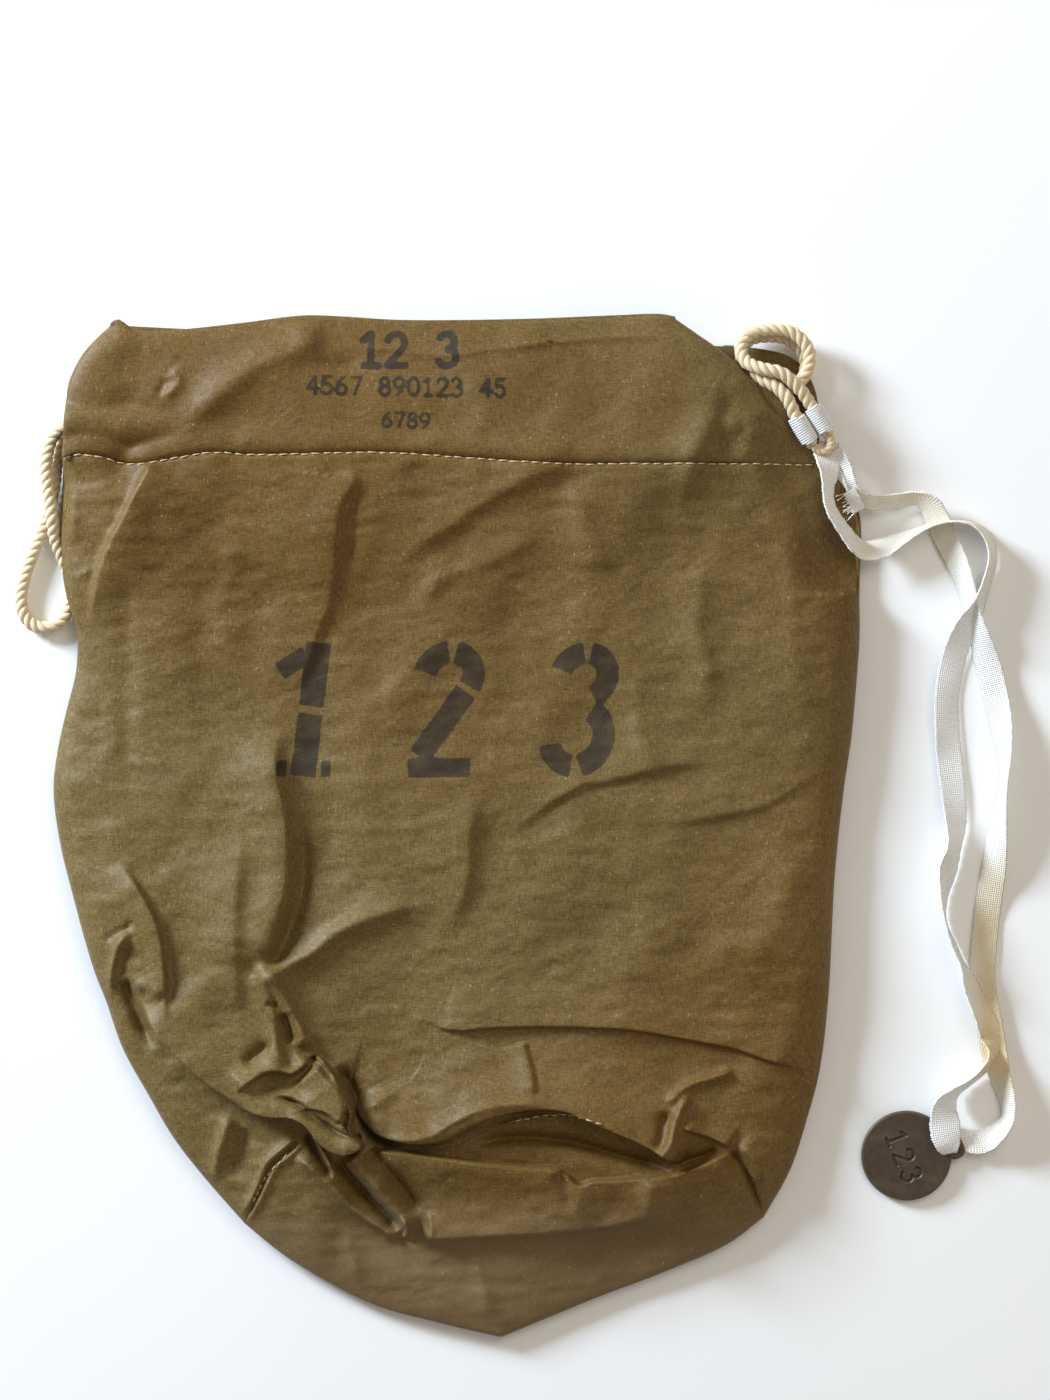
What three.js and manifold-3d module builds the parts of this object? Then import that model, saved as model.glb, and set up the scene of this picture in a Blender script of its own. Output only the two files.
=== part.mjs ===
// A drawstring canvas sack with a numbered tag, lying flat. Millimetres, +Z up, mouth towards +Y.
// The origin is under the middle of the sack, on the surface that it lies on.
import * as THREE from 'three';
import { mergeVertices } from 'three/addons/utils/BufferGeometryUtils.js';
import Module from 'manifold-3d';

const wasm = await Module();
wasm.setup();

// Driving dimensions
const CANVAS = 1.0; // thickness of the duck
const GAP = 0.3; // between pieces that touch
const ROPE = 6.2; // drawcord diameter
const THREAD = 0.8;
const TAPE_WIDTH = 11.5;
const TAPE_THICK = 1.2;
const HEM_Y = 166; // the stitched foot of the casing
const MOUTH_Y = 229;
const SEAM_Z = 10; // height of the side seams, where the two panels meet
const MOUTH_GAP = 5.4; // between the two casings
const SHOULDER = 20; // how far in the rounded edge of the front panel reaches
const UNDERCUT = 14; // how far in the back panel's foot stands
const TAG_RADIUS = 20.3;
const TAG_THICK = 2.4;
const SLOT_OUT = 22.5; // from the tag's centre to its slot
const TAG_CENTRE = new THREE.Vector3(202.3, -147.6, 0);
const TAG_TURN = THREE.MathUtils.degToRad(22); // direction from the tag's centre to its slot
const TAG_TILT = THREE.MathUtils.degToRad(2.9); // the tape under its lug lifts that side

const TUNNEL = ROPE + 0.8; // clear height inside a casing
const CASING = TUNNEL + 2 * CANVAS;
const FRONT_CASING_Z = CASING + MOUTH_GAP;
const TOP_Z = FRONT_CASING_Z + CASING;
const CASING_LEFT = -150;
const CASING_RIGHT = 122;
const FRONT_RUN = { y: 180, z: FRONT_CASING_Z + CASING / 2 }; // the cord inside each casing
const BACK_RUN = { y: 204, z: CASING / 2 };

// Materials
const material = (color, roughness, metalness = 0) =>
  new THREE.MeshStandardMaterial({ color, roughness, metalness });
const CANVAS_OLIVE = material(0x75603a, 0.95);
const THREAD_TAN = material(0xa8925f, 0.9);
const ROPE_CREAM = material(0xdcc9a3, 0.9);
const WHIP_WHITE = material(0xe9e6df, 0.85);
const TAPE_WHITE = material(0xe4dfd0, 0.9);
const TAG_BROWN = material(0x4d4031, 0.55);

const v2 = (x, y) => new THREE.Vector2(x, y);
const v3 = (x, y, z) => new THREE.Vector3(x, y, z);

// Solids: a closed three.js geometry becomes a manifold-3d solid for cutting and joining, and comes back.
function solid(geometry) {
  const bare = new THREE.BufferGeometry();
  bare.setAttribute('position', geometry.getAttribute('position'));
  if (geometry.index) bare.setIndex(geometry.index);
  const merged = mergeVertices(bare, 1e-4);
  return new wasm.Manifold(new wasm.Mesh({
    numProp: 3,
    vertProperties: new Float32Array(merged.getAttribute('position').array),
    triVerts: new Uint32Array(merged.index.array),
  }));
}

function geometryOf(made) {
  const { vertProperties, triVerts, numProp } = made.getMesh();
  const positions = new Float32Array((vertProperties.length / numProp) * 3);
  for (let i = 0; i < positions.length / 3; i++) {
    positions.set(vertProperties.subarray(i * numProp, i * numProp + 3), i * 3);
  }
  const geometry = new THREE.BufferGeometry();
  geometry.setAttribute('position', new THREE.BufferAttribute(positions, 3));
  geometry.setIndex(new THREE.BufferAttribute(new Uint32Array(triVerts), 1));
  geometry.computeVertexNormals();
  return geometry;
}

// A box between two corners.
function block(low, high) {
  const size = high.clone().sub(low);
  const box = new THREE.BoxGeometry(size.x, size.y, size.z);
  box.translate((low.x + high.x) / 2, (low.y + high.y) / 2, (low.z + high.z) / 2);
  return solid(box);
}

// A flat shape raised from z = from to z = to.
function prism(shape, from, to) {
  const depth = to - from;
  const raised = new THREE.ExtrudeGeometry(shape, { depth, bevelEnabled: false, curveSegments: 4 });
  return solid(raised.translate(0, 0, from));
}

// The sack's plan: long curved sides that draw in towards the two ends of the bottom seam.
const LEFT_SIDE = [v2(-177, 138), v2(-174, 97), v2(-180.7, 17), v2(-167, -37), v2(-149, -87), v2(-120, -145),
  v2(-96, -177)];
const BOTTOM_LEFT = [v2(-66, -198), v2(-34, -214), v2(21, -229)];
const BOTTOM_RIGHT = [v2(74, -208.5), v2(139, -178)];
const RIGHT_SIDE = [
  v2(155, -145), v2(164.5, -82), v2(175, 12), v2(180.8, 92), v2(173, 129), v2(160, 152),
  v2(157, HEM_Y),
];
// The front casing's right corner is drawn back on a slant, so that the back one shows past it.
const FRONT_TOP = [v2(154, 172), v2(118, 213), v2(99, MOUTH_Y)];
const BACK_TOP = [v2(160, 180), v2(160, 199), v2(153, 212), v2(124, 217), v2(99, MOUTH_Y)];
const LEFT_TOP = [v2(-150, MOUTH_Y), v2(-164, 217), v2(-174, 190)];

function plan(top) {
  const shape = new THREE.Shape();
  shape.moveTo(-176, HEM_Y);
  shape.splineThru(LEFT_SIDE);
  shape.splineThru(BOTTOM_LEFT);
  shape.splineThru(BOTTOM_RIGHT);
  shape.splineThru(RIGHT_SIDE);
  top.forEach((p) => shape.lineTo(p.x, p.y));
  shape.closePath();
  return shape;
}
const frontPlan = plan([...FRONT_TOP, ...LEFT_TOP]);
const backPlan = plan([...BACK_TOP, ...LEFT_TOP]);
const bodyPlan = plan([v2(157, 300), v2(-176, 300)]); // runs on past the hem, where the casings take over

// Half of a pillow on the sack's plan. Its edge draws in by inset over its rise: rounded, or with one step,
// bevelled.
function halfPillow(shape, rise, inset, shrink, steps) {
  const made = new THREE.ExtrudeGeometry(shape, {
    depth: 1, curveSegments: 4, bevelThickness: rise - shrink, bevelSize: inset, bevelOffset: -inset - shrink,
    bevelSegments: steps,
  });
  return solid(made);
}

const FAR = 400;
const above = block(v3(-FAR, -FAR, 0), v3(FAR, FAR, FAR));
const belowHem = block(v3(-FAR, -FAR, -FAR), v3(FAR, HEM_Y, FAR));

// The hollow half of the sack over or under the seams, open at the mouth.
function halfShell(shape, rise, inset, steps) {
  const outer = halfPillow(shape, rise, inset, 0, steps).intersect(above.translate([0, 0, 1]));
  const inner = halfPillow(shape, rise, inset, CANVAS, steps).intersect(above.translate([0, 0, 1 - 0.01]));
  return outer.subtract(inner).translate([0, 0, -1]).intersect(belowHem);
}
const frontShell = halfShell(bodyPlan, TOP_Z - SEAM_Z, SHOULDER, 4).translate([0, 0, SEAM_Z]);
const backShell = halfShell(bodyPlan, SEAM_Z, UNDERCUT, 1).mirror([0, 0, 1]).translate([0, 0, SEAM_Z]);

// The end of the sack that the bottom panel closes: everything below its arched seam.
const bottomSide = new THREE.Shape();
bottomSide.moveTo(-FAR, -177);
bottomSide.lineTo(-110, -177);
bottomSide.splineThru([v2(-52, -150), v2(5, -132), v2(52, -128), v2(104, -145), v2(152, -178)]);
bottomSide.lineTo(FAR, -178);
bottomSide.lineTo(FAR, -FAR);
bottomSide.lineTo(-FAR, -FAR);
bottomSide.closePath();
const bottomZone = prism(bottomSide, -FAR, FAR);
const panelZone = bottomZone.translate([0, GAP, 0]);

// A casing: the panel turned in over the cord and sewn down at the hem.
function casing(shape, z) {
  const outer = block(v3(CASING_LEFT, HEM_Y - 0.5, z), v3(CASING_RIGHT, MOUTH_Y - 0.5, z + CASING));
  const tunnelLow = v3(-FAR, HEM_Y - 0.5 + CANVAS, z + CANVAS);
  const tunnelHigh = v3(FAR, MOUTH_Y - 0.5 - CANVAS, z + CASING - CANVAS);
  const tunnel = block(tunnelLow, tunnelHigh);
  return outer.subtract(tunnel).intersect(prism(shape, -1, TOP_Z + 1));
}
const aboveHem = block(v3(-FAR, HEM_Y - 0.5, -FAR), v3(FAR, FAR, FAR));
const belowCasing = block(v3(-FAR, -FAR, -FAR), v3(FAR, HEM_Y - 0.5 - GAP, FAR));
const outerPly = (shape, z) => prism(shape, z, z + CANVAS).intersect(aboveHem);

function frontPanel() {
  const seamGap = block(v3(-FAR, -FAR, 0), v3(FAR, FAR, SEAM_Z + GAP / 2));
  return frontShell.subtract(panelZone).subtract(seamGap).intersect(belowCasing);
}

function backPanel() {
  const seamGap = block(v3(-FAR, -FAR, SEAM_Z - GAP / 2), v3(FAR, FAR, TOP_Z + 1));
  return backShell.subtract(panelZone).subtract(seamGap).intersect(belowCasing);
}

// The round bottom, folded across the end of the sack: half of it faces up and half faces down.
function bottomPanel() {
  return frontShell.add(backShell.translate([0, 0, 0.01])).intersect(bottomZone);
}

// A round section for cord and thread, and the sweep of a section along a route.
function roundSection(diameter, sides) {
  const corners = [];
  for (let i = 0; i < sides; i++) {
    const angle = (2 * Math.PI * i) / sides;
    corners.push(v2(Math.cos(angle) * diameter / 2, Math.sin(angle) * diameter / 2));
  }
  return new THREE.Shape(corners);
}

function sweep(section, route, steps) {
  return new THREE.ExtrudeGeometry(section, { extrudePath: route, steps });
}
function threadAlong(points, steps) {
  return sweep(roundSection(THREAD, 8), new THREE.CatmullRomCurve3(points), steps);
}

// The drawcord's two legs lie together from the whipped ends round the loop to the mouth. Each entry is a
// point midway between them, and how far the first leg has rolled up over the second, in degrees.
const LEG_PAIR = [
  [163.1, 173.7, 14.5, 0], [155.5, 185.9, 16.4, 0], [150.4, 194.4, 18.2, 8], [143.8, 200.4, 18.2, 28],
  [135.6, 203.4, 16.8, 56], [129.2, 208.0, 13.6, 82], [127.6, 214.6, 11, 96], [131.6, 220.0, 9.4, 106],
  [140.4, 221.8, 8.6, 112], [149.4, 220.6, 8.2, 116], [156.0, 214.8, 8, 112], [157.6, 207.6, 8, 100],
  [154.6, 200.6, 8.4, 90],
];
const LEG_SPACING = ROPE / 2 + 0.35;
const END_SPACING = ROPE / 2 + 1.1; // the whippings lie between the legs' ends

function leg(side) {
  const along = new THREE.CatmullRomCurve3(LEG_PAIR.map(([x, y, z]) => v3(x, y, z)));
  return LEG_PAIR.map(([x, y, z, roll], i) => {
    const heading = along.getTangent(i / (LEG_PAIR.length - 1));
    const right = v3(heading.y, -heading.x, 0).normalize();
    const angle = THREE.MathUtils.degToRad(roll);
    const out = side * (i < 2 ? END_SPACING : LEG_SPACING);
    return v3(x, y, z)
      .addScaledVector(right, out * Math.cos(angle))
      .addScaledVector(v3(0, 0, 1), out * Math.sin(angle));
  });
}

// From the mouth's right side through the front casing, round the loop left of the sack, and back behind.
const FRONT_RUN_POINTS = [
  v3(148.4, 194, 11), v3(143.6, 186.4, 10.8), v3(136, 182.2, 14.2), v3(130, 180.6, 17.8),
  v3(122.5, FRONT_RUN.y, FRONT_RUN.z), v3(112, FRONT_RUN.y, FRONT_RUN.z),
  v3(60, FRONT_RUN.y, FRONT_RUN.z), v3(0, FRONT_RUN.y, FRONT_RUN.z),
  v3(-75, FRONT_RUN.y, FRONT_RUN.z), v3(-147, FRONT_RUN.y, FRONT_RUN.z),
];
const LEFT_LOOP = [
  v3(-160, 181, 17.6), v3(-171, 181.5, 13.4), v3(-180, 176, 11), v3(-183.6, 166, 10.8),
  v3(-183.4, 155, 10.6), v3(-181.8, 144.5, 10.4), v3(-181, 137, 9.6), v3(-180, 129.5, 6.4),
  v3(-176.8, 121, 4), v3(-173.6, 111, 3.4), v3(-173, 102.5, 3.4), v3(-176.2, 94.4, 3.4),
  v3(-182, 90.2, 3.4), v3(-188.8, 90.2, 3.4), v3(-194, 95, 3.4), v3(-195.6, 102.6, 3.4),
  v3(-194.2, 111.5, 3.4), v3(-191.2, 120.5, 3.4), v3(-187.4, 130, 3.4), v3(-183.4, 141, 3.4),
  v3(-181, 152, 3.8), v3(-179.4, 164, 4.5), v3(-175.4, 177, 4.6), v3(-168, 190, 4.6),
  v3(-158.6, 199, 4.6),
];
const BACK_RUN_POINTS = [
  v3(-146, BACK_RUN.y, BACK_RUN.z), v3(-75, BACK_RUN.y, BACK_RUN.z), v3(0, BACK_RUN.y, BACK_RUN.z),
  v3(60, BACK_RUN.y, BACK_RUN.z), v3(119, BACK_RUN.y, BACK_RUN.z), v3(133.5, 200, 4.6), v3(146, 197, 4.7),
];
const drawcordRoute = new THREE.CatmullRomCurve3(
  [...leg(1), ...FRONT_RUN_POINTS, ...LEFT_LOOP, ...BACK_RUN_POINTS, ...leg(-1).reverse()],
  false,
  'centripetal',
);

// A whipping: fine twine bound tightly round a leg near its end.
const WHIP_LENGTH = 14;
const WHIP_THICK = 0.6;
function whipping(fromStart) {
  const length = drawcordRoute.getLength();
  const stretch = (from, to) => {
    const points = [];
    for (let i = 0; i <= 6; i++) {
      const at = (from + ((to - from) * i) / 6) / length;
      points.push(drawcordRoute.getPointAt(fromStart ? at : 1 - at));
    }
    return new THREE.CatmullRomCurve3(points);
  };
  const outer = roundSection(ROPE + 2 * (WHIP_THICK + 0.25), 12);
  const outside = solid(sweep(outer, stretch(1, 1 + WHIP_LENGTH), 6));
  const inside = solid(sweep(roundSection(ROPE + 0.6, 12), stretch(0.2, WHIP_LENGTH + 2), 6));
  return geometryOf(outside.subtract(inside));
}

// The becket: the strand left at the ends, turned back from one to the other as an eye.
const BECKET = 3.2;
function becketRoute() {
  const [a, aNext] = leg(1);
  const [b] = leg(-1);
  const back = a.clone().sub(aNext).normalize();
  const near = (p, out) => p.clone().addScaledVector(back, out);
  const middle = a.clone().add(b).multiplyScalar(0.5);
  return new THREE.CatmullRomCurve3([near(a, 0.5), near(a, 2), near(a.clone().lerp(middle, 0.3), 4),
    near(middle, 4.9), near(b.clone().lerp(middle, 0.3), 4), near(b, 2), near(b, 0.5)]);
}

// The tape stays flat side up wherever it goes: its width is level, across its heading.
class TapeRoute extends THREE.CatmullRomCurve3 {
  computeFrenetFrames(segments) {
    const tangents = [];
    const normals = [];
    const binormals = [];
    let across = null;
    for (let i = 0; i <= segments; i++) {
      const tangent = this.getTangentAt(i / segments);
      across = across || v3(tangent.y, -tangent.x, 0);
      across = across.clone().addScaledVector(tangent, -across.dot(tangent)).setZ(0).normalize();
      tangents.push(tangent);
      binormals.push(across);
      normals.push(new THREE.Vector3().crossVectors(across, tangent).normalize());
    }
    return { tangents, normals, binormals };
  }
}
// From the tape's own end up to the becket, back over itself and down to the tag.
const TAPE_DOWN = [
  v3(183, 140.5, 11), v3(175.5, 151.5, 10.6), v3(169.5, 160.5, 9), v3(166.6, 167, 8.6),
  v3(165.4, 169.6, 9.6), v3(165.9, 167, 11), v3(166.9, 160, 14.5), v3(168.4, 150, 20),
  v3(171.4, 139, 22.6), v3(178, 129.6, 21.4), v3(188.6, 124.6, 10), v3(197, 127.6, 3.4),
  v3(210, 133.2, 3), v3(223.5, 137, 3.2), v3(235, 133.6, 2.4), v3(240.8, 124.6, 2.6),
  v3(239, 112, 3), v3(233.4, 101, 3), v3(226.4, 90, 2.6), v3(221.2, 77, 1), v3(220.8, 60, 1),
  v3(221.6, 38, 1), v3(222.8, 10, 1), v3(218.6, -20, 1), v3(219.6, -40, 2.2), v3(226.6, -60, 3),
  v3(234.6, -76, 3), v3(240.6, -88, 3.2), v3(241.4, -99, 3.2), v3(234.6, -109.6, 2.6),
  v3(222.4, -116.4, 3.2), v3(213.8, -121.6, 5), v3(208.8, -129.4, 6.2), v3(208.4, -138, 6.4),
  v3(212.4, -143.2, 6.4),
];
// Through the tag's slot and out below its lug.
const TAPE_THROUGH = [
  v3(216.8, -142.4, 6.3), v3(219.6, -140.9, 5.9), v3(221.6, -139.9, 5), v3(223.2, -139.2, 3.3),
  v3(224.8, -138.6, 1.6), v3(226.8, -137.8, 0.95), v3(230.4, -136.5, 0.9),
];
// Back up to where it was cut.
const TAPE_UP = [
  v3(235.4, -134.8, 0.9), v3(242.2, -131.6, 0.9), v3(248.2, -125, 0.9), v3(249, -115, 0.9),
  v3(245.6, -102, 0.9), v3(241.8, -88, 0.9), v3(238.4, -74, 0.9), v3(236.8, -56, 0.9),
  v3(238.8, -28, 0.9), v3(242, -2, 0.9), v3(246, 16, 0.9), v3(247.2, 38, 0.9), v3(245.8, 62, 0.9),
  v3(241.6, 82, 0.9), v3(235.2, 95, 0.9), v3(230.4, 106, 0.9), v3(227.4, 120, 0.9),
  v3(221.4, 134, 0.9), v3(212.6, 143.6, 1), v3(202, 146.8, 2), v3(190, 147.8, 6),
];
const TAPE_ALL = [...TAPE_DOWN, ...TAPE_THROUGH, ...TAPE_UP];
const tapeRoute = new TapeRoute(TAPE_ALL, false, 'centripetal');

// The stretch of tape between two of its route's points.
function ribbon(from, to, steps) {
  const points = [];
  for (let i = 0; i <= 2 * steps; i++) {
    const at = from + ((to - from) * i) / (2 * steps);
    points.push(tapeRoute.getPoint(at / (TAPE_ALL.length - 1)));
  }
  const [t, w] = [TAPE_THICK / 2, TAPE_WIDTH / 2];
  const section = new THREE.Shape([v2(-t, -w), v2(t, -w), v2(t, w), v2(-t, w)]);
  return solid(sweep(section, new TapeRoute(points), steps));
}

function tape() {
  const slotFrom = TAPE_DOWN.length - 1;
  const slotTo = slotFrom + TAPE_THROUGH.length;
  const down = ribbon(0, slotFrom + 0.1, 76);
  const through = ribbon(slotFrom, slotTo + 0.1, 24);
  const up = ribbon(slotTo, TAPE_ALL.length - 1, 60);
  return geometryOf(down.add(through).add(up));
}

// The tag: a pressed disc with a rounded rim, a slotted lug and stamped numerals.
function tagBody() {
  const r = TAG_RADIUS;
  const profile = new THREE.Path();
  profile.moveTo(0, 0);
  profile.lineTo(r - 0.8, 0);
  profile.absarc(r - 0.8, 0.8, 0.8, -Math.PI / 2, 0, false);
  profile.absarc(r - 0.8, TAG_THICK - 0.8, 0.8, 0, Math.PI / 2, false);
  profile.lineTo(0, TAG_THICK);
  const disc = solid(new THREE.LatheGeometry(profile.getPoints(2), 48).rotateX(Math.PI / 2));
  const lugShape = roundedBar(20, 12.2);
  const slotShape = roundedBar(13.8, 6.6);
  const lug = prism(lugShape, 0, TAG_THICK).translate([SLOT_OUT + 0.2, 0, 0]);
  const slot = prism(slotShape, -1, TAG_THICK + 1).translate([SLOT_OUT, 0, 0]);
  return disc.add(lug).subtract(slot).subtract(numerals());
}

// A bar along Y with rounded corners.
function roundedBar(length, width) {
  const [l, w] = [length / 2, width / 2];
  const r = Math.min(w, 2.5);
  const shape = new THREE.Shape();
  shape.absarc(w - r, l - r, r, 0, Math.PI / 2, false);
  shape.absarc(-w + r, l - r, r, Math.PI / 2, Math.PI, false);
  shape.absarc(-w + r, -l + r, r, Math.PI, 1.5 * Math.PI, false);
  shape.absarc(w - r, -l + r, r, 1.5 * Math.PI, 2 * Math.PI, false);
  return shape;
}

// The numerals 1 2 3, stamped in with their heads towards the slot.
const NUMERAL_HEIGHT = 10;
const STAMP_DEPTH = 0.5;
const NUMERAL_STROKES = [
  [[v2(-0.18, 0.3), v2(0, 0.5)], [v2(0, 0.5), v2(0, -0.5)]],
  [[v2(-0.28, 0.22), v2(-0.2, 0.42), v2(0.02, 0.5), v2(0.24, 0.4), v2(0.28, 0.18), v2(0.1, -0.12),
    v2(-0.28, -0.5)],
    [v2(-0.28, -0.5), v2(0.3, -0.5)]],
  [[v2(-0.26, 0.34), v2(-0.1, 0.48), v2(0.12, 0.48), v2(0.26, 0.28), v2(0.14, 0.08), v2(-0.06, 0.03)],
    [v2(-0.06, 0.03), v2(0.18, -0.02), v2(0.29, -0.24), v2(0.14, -0.46), v2(-0.1, -0.5), v2(-0.28, -0.36)]],
];

function numerals() {
  const cutter = new THREE.Shape([v2(-2, -0.6), v2(STAMP_DEPTH, -0.45), v2(STAMP_DEPTH, 0.45), v2(-2, 0.6)]);
  let all = null;
  NUMERAL_STROKES.forEach((strokes, place) => {
    strokes.forEach((stroke) => {
      const offset = (place - 1) * 8.8;
      const place3 = (p) => v3(p.y * NUMERAL_HEIGHT - 1, -(p.x * NUMERAL_HEIGHT + offset), TAG_THICK);
      const points = stroke.map(place3);
      const route = new TapeRoute(points);
      const cut = solid(sweep(cutter, route, stroke.length > 2 ? 10 : 1));
      all = all ? all.add(cut) : cut;
    });
  });
  return all;
}

const sack = new THREE.Group();
function piece(name, geometry, finish, parent = sack) {
  const mesh = new THREE.Mesh(geometry, finish);
  mesh.name = name;
  parent.add(mesh);
  return mesh;
}

// Canvas
piece('front_panel', geometryOf(frontPanel()), CANVAS_OLIVE);
piece('back_panel', geometryOf(backPanel()), CANVAS_OLIVE);
const frontCasing = casing(frontPlan, FRONT_CASING_Z).add(outerPly(frontPlan, TOP_Z - CANVAS));
piece('front_casing', geometryOf(frontCasing), CANVAS_OLIVE);
piece('back_casing', geometryOf(casing(backPlan, 0).add(outerPly(backPlan, 0))), CANVAS_OLIVE);
piece('bottom_panel', geometryOf(bottomPanel()), CANVAS_OLIVE);

// Stitching
const onTop = TOP_Z + GAP / 2 + THREAD / 2;
const frontHem = [v3(-165, HEM_Y + 0.8, onTop), v3(0, HEM_Y + 0.8, onTop), v3(150, HEM_Y + 0.8, onTop)];
piece('front_hem_thread', threadAlong(frontHem, 12),
  THREAD_TAN);
const onBackHem = CASING + GAP / 2 + THREAD / 2;
piece('back_hem_thread', threadAlong([v3(-148, HEM_Y + 0.8, onBackHem), v3(0, HEM_Y + 0.8, onBackHem),
  v3(120, HEM_Y + 0.8, onBackHem)], 12), THREAD_TAN);
piece('bottom_seam_thread', threadAlong([v3(-34, -140, onTop), v3(5, -130.8, onTop), v3(52, -126.6, onTop),
  v3(96, -139.4, onTop)], 16), THREAD_TAN);
// Each side seam's stitches show inside, just in from the edge.
const insideEdge = (points, inward) => points.map((p) => v3(p.x + inward, p.y, SEAM_Z));
const leftSeam = insideEdge([v2(-176, 158), ...LEFT_SIDE.slice(0, 5)], 2.2);
piece('left_seam_thread', threadAlong(leftSeam, 30), THREAD_TAN);
piece('right_seam_thread', threadAlong(insideEdge(RIGHT_SIDE.slice(1, 5), -2.8), 24), THREAD_TAN);

// Drawcord
piece('drawcord', sweep(roundSection(ROPE, 10), drawcordRoute, 80), ROPE_CREAM);
piece('left_whipping', whipping(false), WHIP_WHITE);
piece('right_whipping', whipping(true), WHIP_WHITE);
piece('becket', sweep(roundSection(BECKET, 10), becketRoute(), 14), ROPE_CREAM);

// Tape and tag
piece('id_tape', tape(), TAPE_WHITE);
const tag = new THREE.Group();
tag.position.copy(TAG_CENTRE);
tag.rotation.set(0, -TAG_TILT, TAG_TURN, 'ZYX');
tag.position.z = TAG_RADIUS * Math.sin(TAG_TILT) + 0.02;
sack.add(tag);
piece('id_tag', geometryOf(tagBody()), TAG_BROWN, tag);

export default sack;
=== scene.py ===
import math

import bpy
import numpy as np
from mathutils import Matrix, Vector
from mathutils.kdtree import KDTree


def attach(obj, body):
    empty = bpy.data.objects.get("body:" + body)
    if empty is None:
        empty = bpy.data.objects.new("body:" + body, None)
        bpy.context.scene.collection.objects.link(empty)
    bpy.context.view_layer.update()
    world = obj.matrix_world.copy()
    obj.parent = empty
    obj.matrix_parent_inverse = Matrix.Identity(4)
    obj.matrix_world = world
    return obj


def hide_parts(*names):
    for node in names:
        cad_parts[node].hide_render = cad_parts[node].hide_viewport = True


MM = 0.001
rng = np.random.default_rng(7)
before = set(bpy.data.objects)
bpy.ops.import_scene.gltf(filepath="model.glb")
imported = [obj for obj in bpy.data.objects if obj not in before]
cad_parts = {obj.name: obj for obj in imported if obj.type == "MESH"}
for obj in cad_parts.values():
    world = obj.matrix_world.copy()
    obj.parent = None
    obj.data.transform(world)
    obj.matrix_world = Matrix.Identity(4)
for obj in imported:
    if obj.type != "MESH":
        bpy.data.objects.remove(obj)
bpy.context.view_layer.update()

# ---------------------------------------------------------------- camera
CAMERA_HEIGHT = 2.4
FRAME_HEIGHT = 0.63
AIM = (0.0308, 0.0572)
camera_data = bpy.data.cameras.new("camera")
camera_data.sensor_fit = "VERTICAL"
camera_data.sensor_height = 36
camera_data.lens = 36 * CAMERA_HEIGHT / FRAME_HEIGHT
camera = bpy.data.objects.new("camera", camera_data)
camera.location = (AIM[0], AIM[1], CAMERA_HEIGHT)
bpy.context.scene.collection.objects.link(camera)
bpy.context.scene.camera = camera


# ---------------------------------------------------------------- helpers
def catmull(points, per=14):
    """A centripetal Catmull-Rom line through points, as three.js draws it."""
    p = np.asarray(points, float)
    p = np.vstack([2 * p[0] - p[1], p, 2 * p[-1] - p[-2]])
    out = []
    for i in range(1, len(p) - 2):
        p0, p1, p2, p3 = p[i - 1 : i + 3]
        t1 = max(np.linalg.norm((p1 - p0)[:3]), 1e-6) ** 0.5
        t2 = t1 + max(np.linalg.norm((p2 - p1)[:3]), 1e-6) ** 0.5
        t3 = t2 + max(np.linalg.norm((p3 - p2)[:3]), 1e-6) ** 0.5
        t = np.linspace(t1, t2, per, endpoint=False)[:, None]
        a1 = (t1 - t) / t1 * p0 + t / t1 * p1
        a2 = (t2 - t) / (t2 - t1) * p1 + (t - t1) / (t2 - t1) * p2
        a3 = (t3 - t) / (t3 - t2) * p2 + (t - t2) / (t3 - t2) * p3
        b1 = (t2 - t) / t2 * a1 + t / t2 * a2
        b2 = (t3 - t) / (t3 - t1) * a2 + (t - t1) / (t3 - t1) * a3
        out.append((t2 - t) / (t2 - t1) * b1 + (t - t1) / (t2 - t1) * b2)
    return np.vstack([*out, p[-2:-1]])


def lengths(line):
    return np.concatenate([[0], np.cumsum(np.linalg.norm(np.diff(line[:, :3], axis=0), axis=1))])


def resample(line, step=None, count=None):
    s = lengths(line)
    count = count or max(2, int(round(s[-1] / step)) + 1)
    at = np.linspace(0, s[-1], count)
    return np.column_stack([np.interp(at, s, line[:, k]) for k in range(line.shape[1])])


def tangents(line):
    t = np.gradient(line, axis=0)
    return t / np.maximum(np.linalg.norm(t, axis=1), 1e-9)[:, None]


def carried_frames(line):
    """Normals carried along a line with no twist of their own."""
    t = tangents(line)
    n = np.array((0, 0, 1), float)
    normals = []
    for tangent in t:
        n = n - tangent * n.dot(tangent)
        n /= max(np.linalg.norm(n), 1e-9)
        normals.append(n)
    normals = np.array(normals)
    return t, normals, np.cross(t, normals)


def grid_faces(rows, cols, start=0, wrap=False):
    r = np.arange(rows - 1)[:, None]
    c = np.arange(cols if wrap else cols - 1)[None, :]
    c1 = (c + 1) % cols
    quads = np.stack([r * cols + c, r * cols + c1, (r + 1) * cols + c1, (r + 1) * cols + c], axis=-1)
    return quads.reshape(-1, 4) + start


def end_caps(rows, sides):
    """The two faces that close a tube."""
    return [list(range(sides))[::-1], list(range((rows - 1) * sides, rows * sides))]


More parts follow.
